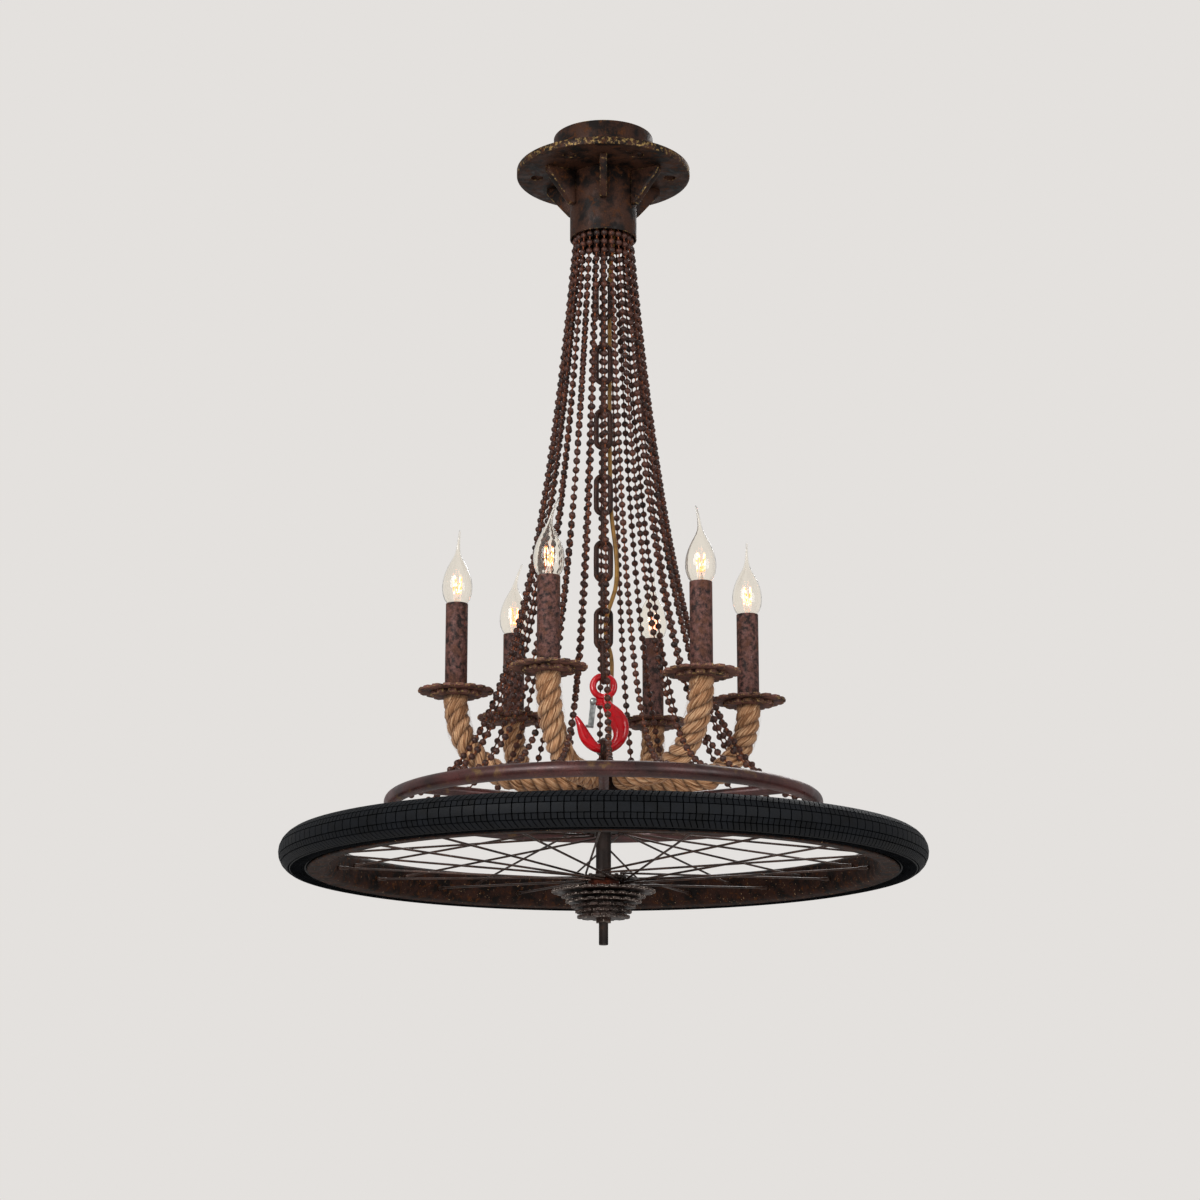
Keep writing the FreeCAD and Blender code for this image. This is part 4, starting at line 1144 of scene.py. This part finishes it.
@dataclass
class LiftingHook:
    """Forged lifting hook in red enamel, with a round eye."""

    level: float = -609.0
    eye_radius: float = 11.0
    eye_wire: float = 7.0
    sides: int = 16
    eye_segments: tuple[int, int] = (48, 20)
    eye_swell: float = 0.2
    thick: tuple[float, float] = (4.4, 6.2)
    thick_stations: int = 13
    roundest: float = 1.1
    pin: Place = (-10.5, -16.5)
    pin_head_at: float = 4.7
    pin_head: tuple[Place, ...] = ((0, 0), (3.6, 0), (3.5, 0.8), (2.6, 1.7), (1.2, 2.1), (0, 2.2))
    lug_at: float = -5.2
    lug_size: Spot = (11.5, 5, 7.6)
    lug_edge: float = 1.6
    # Outer and inner edge of the hook at stations from its neck to its point, from the eye's middle
    sections: tuple[tuple[Place, Place], ...] = (
        ((6.5, -9), (-2.3, -9)), ((6.5, -16), (-2.0, -17)), ((12.6, -19.6), (-0.7, -25)),
        ((20.4, -25.6), (2.6, -32)), ((25.6, -34), (6, -39.4)), ((27.5, -44), (9.2, -46.6)),
        ((25.2, -55), (10.8, -52)), ((18.4, -64.4), (7.7, -57.8)), ((9.4, -69.8), (3.7, -60.4)),
        ((0, -71.5), (0, -61)), ((-9.4, -69.8), (-3.7, -60.4)), ((-17.7, -65), (-7.7, -57.8)),
        ((-23.8, -57.7), (-10.6, -53.6)), ((-26.8, -50), (-14.4, -48)), ((-27.6, -42), (-19.2, -40.6)),
        ((-29.2, -36), (-23.6, -34)), ((-30.6, -32.2), (-27, -30.6)), ((-30.2, -30.6), (-28.8, -30)))

    def build(self) -> None:
        """Skin the hook's sections and join the eye and the latch lug to it."""
        rings = []
        for i, (outer, inner) in enumerate(self.sections):
            middle = Vector((outer[0] + inner[0], 0, outer[1] + inner[1])) / 2
            half = Vector((outer[0] - inner[0], 0, outer[1] - inner[1])) / 2
            share = math.sin(math.pi * min(i / self.thick_stations, 1.0))
            depth = min(self.thick[0] + (self.thick[1] - self.thick[0]) * share,
                        half.length * self.roundest)
            ring = []
            for k in range(self.sides):
                turn = math.tau * k / self.sides
                ring.append((middle + half * math.cos(turn) + Vector((0, depth * math.sin(turn), 0))
                             + Vector((0, 0, self.level))) * MM)
            rings.append(ring)
        shank = smoothed(lofted("shank", rings))
        eye = round_ring("eye", self.eye_radius, self.eye_wire, self.eye_segments, self.level, upright=True)
        for corner in eye.data.vertices:
            low = max(0.0, (self.level * MM - corner.co.z) / (self.eye_radius * MM))
            corner.co.y *= 1 + self.eye_swell * low
        hook = joined("hook_forging", [shank, eye, self.lug()])
        with editing(hook):
            bpy.ops.mesh.normals_make_consistent(inside=False)
        bpy.ops.object.shade_smooth_by_angle(angle=math.radians(50))
        fitted(hook, Body.PENDANT, RED_ENAMEL, ["hook"])
        self.pin_heads()

    def pin_heads(self) -> None:
        """Turn the riveted heads at both ends of the latch pin."""
        head = turned("head", self.pin_head, steps=20, angle=50)
        x, z = self.pin
        places = [along(Vector((x, side * self.pin_head_at, self.level + z)) * MM, Vector((0, side, 0)))
                  for side in (-1, 1)]
        fitted(copied("latch_pin_heads", head, places), Body.PENDANT, ZINC)

    def lug(self) -> Piece:
        """Make the lug beside the neck that holds the latch pin.

        Returns:
            The lug, in place.
        """
        place = Vector((self.lug_at, 0, self.level + self.pin[1])) * MM
        bpy.ops.object.select_all(action="DESELECT")
        bpy.ops.mesh.primitive_cube_add(size=1, location=place)
        lug = started("lug")
        with editing(lug):
            bpy.ops.transform.resize(value=Vector(self.lug_size) * MM)
            bpy.ops.mesh.bevel(offset=self.lug_edge * MM, segments=3, affect="EDGES")
        bpy.ops.object.transform_apply(location=True, rotation=True, scale=True)
        return lug


@dataclass
class RopeArms:
    """Six bent arms wound with thick hemp rope."""

    first_angle: float = ARM_ANGLE
    count: int = 6
    level: float = -709.3
    start: float = 29.0
    reach: float = ARM_REACH
    bend: float = 75.0
    riser: float = 84.3
    outer: float = 13.0
    strands: int = 3
    offset: float = 4.2
    lay_length: float = 38.0
    lay: Lay = Lay.Z
    fibre_slope: float = 1.5
    whipping: float = 18.0
    whipped: float = 0.3
    groove_shade_from: float = 0.62
    groove_shade_depth: float = 1.5
    sides: int = 18
    fibres: int = 420
    under_cup: int = 3
    middle_back: tuple[int, int] = (1, 4)
    tip_back: tuple[int, int] = (2, 7)
    fibre_root: float = 1.6
    fibre_spread: float = 0.5
    fibre_rise: Place = (0.3, 1.8)
    fibre_sag: float = 0.4
    fibre_turn: float = 0.02
    fibre_half: float = 0.55
    fibre_taper: float = 0.7
    first_seed: int = 20

    def route(self) -> list[Vector]:
        """Lay out one arm in its own upright plane.

        Returns:
            Control points of its middle line, in metres.
        """
        half = self.bend * math.tan(math.radians(22.5))
        turn = self.reach - self.bend
        return [Vector((x, 0, self.level + z)) * MM for x, z in
                ((self.start, 0), (turn - half, 0), (turn + half, 0), (self.reach, self.bend - half),
                 (self.reach, self.riser))]

    def frames(self) -> list[Station]:
        """Find stations along the arm.

        Returns:
            Places on its middle line, the way across it in its plane, and the run so far.
        """
        line = spline_line(self.route())
        run = 0.0
        made = []
        for i, place in enumerate(line):
            way = (line[min(i + 1, len(line) - 1)] - line[max(i - 1, 0)]).normalized()
            run += (place - line[i - 1]).length if i else 0.0
            made.append((place, Vector((-way.z, 0, way.x)), run))
        return made

    def spot(self, frame_at: Station, turn: float, radius: float) -> Vector:
        """Return a place at a turn round the arm and a distance from its middle line in millimetres."""
        place, across, _ = frame_at
        return place + (across * math.cos(turn) + Vector((0, 1, 0)) * math.sin(turn)) * radius * MM

    def rope(self, frames: Sequence[Station]) -> Piece:
        """Skin one rope: strands that wind round each other, with their run and their grooves' painted shade
        marked.

        Args:
            frames: stations along the arm.

        Returns:
            The rope on an arm along +X.
        """
        strands = []
        for s in range(self.strands):
            rings, spread, depth = [], [], []
            for step in frames:
                left = min(1.0, (frames[-1][2] - step[2]) / (self.whipping * MM))
                offset = self.offset * (self.whipped + (1 - self.whipped) * left)
                reach = self.outer - offset
                winding = math.tau * (s / self.strands - self.lay.value * step[2] / (self.lay_length * MM))
                centre = self.spot(step, winding, offset)
                outward = self.spot(step, winding, reach) - step[0]
                side = self.spot(step, winding + math.pi / 2, reach) - step[0]
                turns = [math.tau * (k / self.sides - 0.5) for k in range(self.sides)]
                rings.append([centre + outward * math.cos(turn) + side * math.sin(turn) for turn in turns])
                slant = self.fibre_slope * self.lay.value * step[2]
                spread += [(step[2], turn * reach * MM - slant) for turn in turns]
                # Painted shade on each strand's inner side, in the groove, fading out under the whipping
                depth += [min(1.0, max(0.0, self.groove_shade_from - math.cos(turn)) * self.groove_shade_depth * left)
                          for turn in turns]
            strand = lofted(f"strand_{s}", rings)
            layer = strand.data.uv_layers.new(name="strand")
            for loop in strand.data.loops:
                layer.data[loop.index].uv = spread[loop.vertex_index]
            strand.data.attributes.new("groove_shade", "FLOAT", "POINT").data.foreach_set("value", depth)
            strands.append(strand)
        rope = joined("rope", strands)
        with editing(rope):
            bpy.ops.mesh.normals_make_consistent(inside=False)
        bpy.ops.object.shade_smooth()
        return rope

    def fuzz(self, frames: Sequence[Station], seed: int) -> Piece:
        """Make loose fibres that stand off one rope, thickest under the cup.

        Args:
            frames: stations along the arm.
            seed: start of the random draws.

        Returns:
            The fibres as slim blades.
        """
        rng = random.Random(seed)
        corners, faces = [], []
        reach, count = self.outer, len(frames)
        for i in range(self.fibres):
            at = rng.randrange(2, count - 2) if i % self.under_cup else rng.randrange(count * 4 // 5, count)
            turn = rng.uniform(0, math.tau)
            spread = rng.uniform(-self.fibre_spread, self.fibre_spread)
            rise = rng.uniform(*self.fibre_rise)
            halfway = frames[max(at - rng.randrange(*self.middle_back), 0)]
            end = frames[max(at - rng.randrange(*self.tip_back), 0)]
            root = self.spot(frames[at], turn, reach - self.fibre_root)
            middle = self.spot(halfway, turn + spread / 2, reach + rise * self.fibre_sag)
            tip = self.spot(end, turn + spread, reach + rise)
            arc = self.spot(frames[at], turn + self.fibre_turn, reach) - self.spot(frames[at], turn, reach)
            wide = arc * self.fibre_half
            slim = wide * self.fibre_taper
            base = len(corners)
            corners += [root - wide, root + wide, middle - slim, middle + slim, tip]
            faces += [(base, base + 1, base + 3, base + 2), (base + 2, base + 3, base + 4)]
        return meshed("fibres", corners, faces)

    def build(self) -> None:
        """Wind a rope on each arm and leave fibres standing on it."""
        frames = self.frames()
        ropes, hairs = [], []
        for i in range(self.count):
            for piece, kept in ((self.rope(frames), ropes), (self.fuzz(frames, self.first_seed + i), hairs)):
                piece.data.transform(about_axis(self.first_angle + i * 360 / self.count))
                kept.append(piece)
        fitted(joined("arm_ropes", ropes), Body.PENDANT, HEMP, ["rope_sleeves"])
        fitted(joined("rope_fibres", hairs), Body.PENDANT, HEMP)


@dataclass
class CandleBulbs:
    """Clear candle bulbs with drawn-out tips and glowing wire cages."""

    first_angle: float = ARM_ANGLE
    radius: float = ARM_REACH
    sleeve_top: float = -527.0
    tip: float = 79.5
    inner_tip: float = 75.5
    wall: float = 0.7
    tip_wall: float = 1.2
    thinnest: float = 0.35
    bend_start: float = 44.0
    tip_bends: tuple[Place, ...] = (
        (0.5, 1.0), (3.0, 2.0), (9.0, 0.0), (2.2, 1.0), (10.0, -2.0), (-4.5, 0.0))
    outline: tuple[Place, ...] = (
        (6.4, -3), (10.2, 0.5), (13.0, 4.5), (14.8, 9.5), (15.6, 15), (15.6, 20), (14.8, 26), (13.2, 32),
        (10.8, 38), (8.0, 43.5), (5.2, 48.5), (3.3, 53), (2.2, 58), (1.7, 64), (1.3, 71), (1.0, 78))
    stem: tuple[Place, ...] = (
        (0, -2), (3.4, -2), (2.6, 4), (1.3, 9), (1.0, 20), (1.6, 21.5), (0, 22.5))
    cage_legs: int = 7
    cage_foot: Place = (3.6, 11)
    cage_top: Place = (5.0, 29)
    cage_wire: float = 1.1

    def side(self, inset: float) -> list[Place]:
        """Draw the glass's side view from its neck to its tip.

        Args:
            inset: how far it is set in from the outside, in millimetres.

        Returns:
            Radii and heights in millimetres.
        """
        drawn_out = len(self.outline) - 2
        sink = self.tip_wall if inset else 0
        return [(max(radius - inset, self.thinnest), height - (sink if i >= drawn_out else 0))
                for i, (radius, height) in enumerate(self.outline)]

    def glass(self, bend: Place) -> Piece:
        """Turn one bulb's glass, hollow, and bend its tip.

        Args:
            bend: how far the tip leans along X and Y, in millimetres.

        Returns:
            The glass, with its seat at the origin.
        """
        outside, inside = self.side(0), self.side(self.wall)
        section = outside + [(0.0, self.tip), (0.0, self.inner_tip)] + inside[::-1][1:] + outside[:1]
        piece = turned("glass", section, steps=24, angle=80)
        for corner in piece.data.vertices:
            share = max(0.0, corner.co.z / MM - self.bend_start) / (self.tip - self.bend_start)
            corner.co.x += bend[0] * share ** 2 * MM
            corner.co.y += bend[1] * share ** 2 * MM
        return piece

    def cage(self) -> Piece:
        """Bend one filament: a wire led up and down round a glass stem.

        Returns:
            The filament, with its bulb's seat at the origin.
        """
        points = []
        for i in range(self.cage_legs):
            angle = math.degrees(math.tau * i / self.cage_legs)
            ends = (self.cage_top, self.cage_foot) if i % 2 else (self.cage_foot, self.cage_top)
            points += [polar(radius, angle, height) for radius, height in ends]
        curve = nurbs("cage", points)
        curve.bevel_depth = self.cage_wire / 2 * MM
        curve.bevel_resolution = 1
        curve.resolution_u = 4
        return converted("cage", curve)

    def build(self) -> None:
        """Set a bulb, its stem and its filament on each candle."""
        shells, cages, stems = [], [], []
        for i, bend in enumerate(self.tip_bends):
            angle = self.first_angle + i * 360 / len(self.tip_bends)
            place = Matrix.Translation(polar(self.radius, angle, self.sleeve_top))
            stem = turned("stem", self.stem, steps=12)
            for piece, kept in ((self.glass(bend), shells), (self.cage(), cages), (stem, stems)):
                piece.data.transform(place)
                kept.append(piece)
        fitted(joined("bulb_shells", shells), Body.PENDANT, GLASS, ["bulb_glass"])
        fitted(joined("filament_cages", cages), Body.PENDANT, GLOW, ["bulb_filaments"])
        fitted(joined("bulb_stems", stems), Body.PENDANT, GLASS)


@dataclass
class Hoop:
    """Bent tube hoop that spreads the bead strands."""

    place: Place = HOOP_PLACE
    tube: float = 16.0
    segments: tuple[int, int] = (180, 24)
    slack: float = 0.2

    def build(self) -> None:
        """Bend a tube round, a little thinner than the solid."""
        radius, level = self.place
        hoop = round_ring("hoop_tube", radius, self.tube, self.segments, level)
        with editing(hoop):
            bpy.ops.transform.shrink_fatten(value=-self.slack * MM)
        bpy.ops.object.shade_smooth()
        fitted(hoop, Body.PENDANT, HOOP_IRON, ["hoop"])


@dataclass
class LampCord:
    """Flexible cord from the canopy down the chain to the arm hub."""

    diameter: float = 4.5
    free_length: float = 0.596
    parting: float = -100.0
    lead_steps: int = 3
    datum: float = -547.35
    top: Spot = (11, 12, -50.6)
    end: Spot = (6, 11, -688.3)
    bends: tuple[Spot, ...] = (
        (11, 12, 434.3), (7.2, 7.8, 394.3), (6.4, 6.9, 342), (7, 7.4, 290), (6.3, 6.8, 238), (6.9, 7.3, 186),
        (7.4, 6.8, 129), (14, 3, 80), (14, -5, 46), (9, -8.5, 28.4), (2.4, -6.5, 10.4), (2.4, 6.5, -11.1),
        (9, 8.5, -27.6), (8.5, 9.5, -54.6), (6.8, 9.6, -89), (6, 11, -121.6))

    def length_of(self, name: str, route: Sequence[Vector], flex: Flex,
                  stands_for: Sequence[str] = ()) -> Piece:
        """Draw one length of the cord.

        Args:
            name: the piece's name.
            route: control points of its middle line, in metres.
            flex: the stretch from one body to the next, which dresses it.
            stands_for: solids that it replaces.

        Returns:
            The cord's length as a tube.
        """
        curve = nurbs(name, route)
        curve.bevel_depth = self.diameter / 2 * MM
        curve.bevel_resolution = 3
        curve.use_fill_caps = True
        cord = cleaned(converted(name, curve))
        flex.bend(cord, CORD_SHEATH, Slot.CORD, stands_for)
        return cord

    def build(self) -> None:
        top = Vector(self.top) * MM
        parting = Vector((top.x, top.y, self.parting * MM))
        bends = [Vector((x, y, self.datum + z)) * MM for x, y, z in self.bends]
        route = [parting, *bends, Vector(self.end) * MM]
        inner = [top.lerp(parting, i / self.lead_steps) for i in range(self.lead_steps + 1)]
        lead = self.length_of("lamp_cord_lead", inner, LEAD_FLEX)
        cord = self.length_of("lamp_cord_sheath", route, CORD_FLEX, ["lamp_cord"])
        spline_line(route)


@dataclass
class SpokedWheel:
    """Bicycle wheel: rim, tyre with block tread, spoke nipples and spoke heads."""

    level: float = -787.0
    tyre_radius: float = 330.0
    section: float = 18.5
    block: float = 1.4
    pitches: int = 172
    slant: float = 0.012
    spokes: int = 36
    lace: float = 60.0
    hub_radius: float = 20.5
    rim_radius: float = 280.0
    spread: float = 4.0
    flanges: Place = (28.0, -21.3)
    flange_thick: float = 3.2
    head_stand: float = 2.2
    nipple_seat: float = 0.2
    half_rim: tuple[Place, ...] = (
        (280.0, 11.0), (280.9, 13.6), (282.7, 15.6), (285.4, 16.7), (296.8, 16.8), (298.6, 17.3),
        (300.0, 17.0), (300.5, 16.0), (299.9, 15.0), (298, 14.8), (286.2, 14.7), (284, 13.9), (282.6, 12.2),
        (282.0, 10.4))
    nipple: tuple[Place, ...] = (
        (0, 0), (2.4, 0), (2.4, 2), (1.9, 2.4), (1.9, 8.5), (1.5, 11.5), (1.0, 12), (0, 12))
    head: tuple[Place, ...] = (
        (0, -6.6), (1.9, -6.6), (1.9, -5.4), (1.0, -5.0), (1.0, 0.6), (0.5, 1.1), (0, 1.1))
    # The flat tread strip: shares of a pitch along it, and degrees round the tyre's section across it
    columns: tuple[float, ...] = (0, 0.05, 0.46, 0.54, 0.95, 1)
    half_rows: tuple[float, ...] = (
        0, 14, 17, 33, 36, 50, 62, 66, 70, 82, 95, 107, 118, 124, 140, 160, 180)
    middle_row: float = 14.0
    split_rows: tuple[Place, ...] = ((17, 33), (36, 62))
    ribs: tuple[Place, ...] = ((66, 70), (118, 124))
    rib_height: float = 0.5
    slant_from: float = 33.0

    def rim(self) -> None:
        """Turn the rim: a channel with rolled edges, open to the tyre."""
        section = [*self.half_rim, *((radius, -height) for radius, height in reversed(self.half_rim))]
        rim = turned("rim_channel", section + section[:1], steps=180, angle=50)
        rim.location.z = self.level * MM
        fitted(rim, Body.WHEEL, RIM_IRON, ["rim"])

    def wrap(self, x: float, across: float, lift: float) -> Vector:
        """Find the place on the tyre of a spot on the flat tread strip.

        Args:
            x: pitches along the strip.
            across: degrees round the tyre's section.
            lift: height above the tyre's casing, in millimetres.

        Returns:
            The place in metres.
        """
        turn = (x + self.slant * max(0.0, abs(across) - self.slant_from)) * math.tau / self.pitches
        reach = self.section - self.block + lift
        radius = self.tyre_radius - self.section + reach * math.cos(math.radians(across))
        return Vector((radius * math.cos(turn) * MM, radius * math.sin(turn) * MM,
                       (reach * math.sin(math.radians(across)) + self.level) * MM))

    def tyre(self) -> None:
        """Raise one pitch of the tread on a flat strip, wrap it round and repeat it."""
        rows = [-a for a in reversed(self.half_rows[1:])] + list(self.half_rows)
        long, wide = len(self.columns) - 1, len(rows) - 1
        bpy.ops.object.select_all(action="DESELECT")
        bpy.ops.mesh.primitive_grid_add(x_subdivisions=long, y_subdivisions=wide, size=1)
        strip = started("tread_strip")
        for corner in strip.data.vertices:
            corner.co.x = self.columns[round((corner.co.x + 0.5) * long)]
            corner.co.y = rows[round((corner.co.y + 0.5) * wide)]
        _, start, gap_start, gap_end, end, _ = self.columns
        for face in strip.data.polygons:
            spot, across = face.center.x, abs(face.center.y)
            block = start < spot < end
            halves = block and not gap_start < spot < gap_end
            middle = block and across < self.middle_row
            split = halves and any(low < across < high for low, high in self.split_rows)
            face.select = middle or split or any(low < across < high for low, high in self.ribs)
        with editing_chosen(strip):
            bpy.ops.mesh.extrude_region_move(TRANSFORM_OT_translate={"value": (0, 0, 1)})
        for corner in strip.data.vertices:
            across = abs(corner.co.y)
            lift = corner.co.z * self.block * (1 if across < self.ribs[0][0] else self.rib_height)
            corner.co = self.wrap(corner.co.x, corner.co.y, lift)
        turns = [about_axis(i * 360 / self.pitches) for i in range(self.pitches)]
        tyre = cleaned(copied("tyre_tread", strip, turns), angle=28)
        fitted(tyre, Body.WHEEL, RUBBER, ["tyre"])

    def ends(self, i: int) -> tuple[Vector, Vector, int]:
        """Find the ends of one spoke.

        Args:
            i: the spoke's number.

        Returns:
            Its place at the hub, its place at the rim, and the way its head points.
        """
        up = 1 if i % 2 == 0 else -1
        lead = 1 if i // 2 % 2 == 0 else -1
        turn = 360 * i / self.spokes
        flange = self.flanges[0] if up > 0 else self.flanges[1]
        stand = (self.flange_thick / 2 + self.head_stand) * up * lead
        return (polar(self.hub_radius, turn + lead * self.lace, self.level + flange + stand),
                polar(self.rim_radius - self.nipple_seat, turn, self.level + up * self.spread), up * lead)

    def spoke_ends(self) -> None:
        """Set a nipple on each spoke at the rim, and its bent end with a head at the hub's flange."""
        ends = [self.ends(i) for i in range(self.spokes)]
        for name, side, places in (
                ("spoke_nipples", self.nipple, [along(rim, hub - rim) for hub, rim, _ in ends]),
                ("spoke_heads", self.head, [along(hub, Vector((0, 0, way))) for hub, _, way in ends])):
            made = copied(name, turned("spoke_end", side, steps=8), places)
            fitted(made, Body.WHEEL, SPOKE_STEEL)

    def build(self) -> None:
        """Build the wheel's own pieces."""
        self.rim()
        self.tyre()
        self.spoke_ends()


@dataclass
class Studio:
    """Plain studio: pale floor and surround, soft lamps and the camera."""

    floor_level: float = -2.4
    floor_radius: float = 6.0
    fade_margin: float = 1.0
    evening: float = 0.85
    ambient: float = 0.42
    pale: str = "E4E1DE"
    eye: Spot = (-0.00358, -2.6509, -1.157)
    pitch: float = 13.578
    lens: float = 78.26
    aim: Spot = (0, 0, -0.5)
    # Place and width of each lamp in metres, and its power in watts
    lamps: tuple[tuple[Spot, float, float], ...] = (
        ((-1.7, -2.2, 0.5), 1.6, 42.0), ((1.9, -1.9, -0.2), 1.4, 24.0), ((0.4, 1.6, 0.9), 1.4, 22.0),
        ((0.0, -1.2, -1.25), 1.2, 5.0), ((-1.1, -2.1, -0.1), 0.16, 12.0))

    def floor(self) -> None:
        """Lay a wide pale floor, clear from below, whose shadows show softly and fade out to its edge."""
        bpy.ops.object.select_all(action="DESELECT")
        bpy.ops.mesh.primitive_circle_add(vertices=64, radius=self.floor_radius, fill_type="NGON",
                                          location=(0, 0, self.floor_level))
        floor = started("studio_floor")
        paint = bpy.data.materials.new("floor_paint")
        paint.use_nodes = True
        tree = paint.node_tree
        tree.nodes.clear()
        seen = add(tree, "ShaderNodeLightPath", {})
        where = add(tree, "ShaderNodeTexCoord", {}).outputs["Object"]
        out = add(tree, "ShaderNodeVectorMath", {0: where}, operation="LENGTH").outputs["Value"]
        edge = self.floor_radius - self.fade_margin
        fade = add(tree, "ShaderNodeMapRange", {"Value": out, "From Min": self.fade_margin, "From Max": edge,
                                                "To Min": self.evening, "To Max": 1.0})
        evened = add(tree, "ShaderNodeMath", {0: seen.outputs["Is Camera Ray"], 1: fade.outputs["Result"]},
                     operation="MULTIPLY")
        matt = add(tree, "ShaderNodeBsdfDiffuse", {"Color": linear(self.pale)})
        even = add(tree, "ShaderNodeEmission", {"Color": linear(self.pale)})
        mixed = add(tree, "ShaderNodeMixShader", {0: evened.outputs[0], 1: matt.outputs[0],
                                                  2: even.outputs[0]})
        under = add(tree, "ShaderNodeNewGeometry", {}).outputs["Backfacing"]
        clear = add(tree, "ShaderNodeBsdfTransparent", {})
        one_way = add(tree, "ShaderNodeMixShader", {0: under, 1: mixed.outputs[0], 2: clear.outputs[0]})
        add(tree, "ShaderNodeOutputMaterial", {"Surface": one_way.outputs[0]})
        floor.data.materials.append(paint)

    def surround(self) -> None:
        """Light the scene softly from all round, and show it as a pale backdrop."""
        world = bpy.data.worlds.new("studio")
        world.use_nodes = True
        bpy.context.scene.world = world
        tree = world.node_tree
        tree.nodes.clear()
        seen = add(tree, "ShaderNodeLightPath", {})
        through = add(tree, "ShaderNodeMath", {0: seen.outputs["Is Camera Ray"],
                                               1: seen.outputs["Is Transmission Ray"]}, operation="MAXIMUM")
        light = add(tree, "ShaderNodeBackground", {"Color": linear("FFFFFF"), "Strength": self.ambient})
        backdrop = add(tree, "ShaderNodeBackground", {"Color": linear(self.pale), "Strength": 1.0})
        mixed = add(tree, "ShaderNodeMixShader", {0: through.outputs[0], 1: light.outputs[0],
                                                  2: backdrop.outputs[0]})
        add(tree, "ShaderNodeOutputWorld", {"Surface": mixed.outputs[0]})

    def light(self) -> None:
        """Hang soft square lamps that face the light's middle."""
        for i, (place, size, power) in enumerate(self.lamps):
            bpy.ops.object.select_all(action="DESELECT")
            turn = (Vector(self.aim) - Vector(place)).to_track_quat("-Z", "Y").to_euler()
            bpy.ops.object.light_add(type="AREA", location=place, rotation=turn)
            lamp = started(f"soft_lamp_{i}")
            lamp.data.size = size
            lamp.data.energy = power
            lamp.visible_transmission = False

    def camera(self) -> None:
        """Stand the camera at the photograph's viewing angle."""
        bpy.ops.object.camera_add(location=self.eye, rotation=(math.radians(90 + self.pitch), 0, 0))
        camera = started("viewer")
        camera.data.lens = self.lens
        camera.data.sensor_width = 36
        bpy.context.scene.camera = camera

    def build(self) -> None:
        """Set up floor, surround, lamps, camera and the plain view transform."""
        self.floor()
        self.surround()
        self.light()
        self.camera()
        bpy.context.scene.view_settings.view_transform = "Standard"


def dress_solids() -> None:
    """Finish the solids that stay as they are, and copies with rounded edges of the worn ones."""
    for node, finish in PLAIN_SOLIDS.items():
        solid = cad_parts[node]
        solid.data.materials.clear()
        solid.data.materials.append(finish.material())
        LOG.info("%s keeps its solid", node)
    for node, (body, finish, slot, edge) in WORN_SOLIDS.items():
        fitted(carried(node, edge), body, finish, [node])


def main() -> None:
    """Build the studio and every sub-assembly in order."""
    logging.basicConfig(level=logging.INFO)
    for part in (Studio(), LampCord(), HangingChain(), LiftingHook(), BeadCurtain(), RopeArms(),
                 CandleBulbs(), Hoop(), SpokedWheel()):
        part.build()
        LOG.info("%s is built", type(part).__name__)
    dress_solids()


if __name__ == "__main__":
    main()
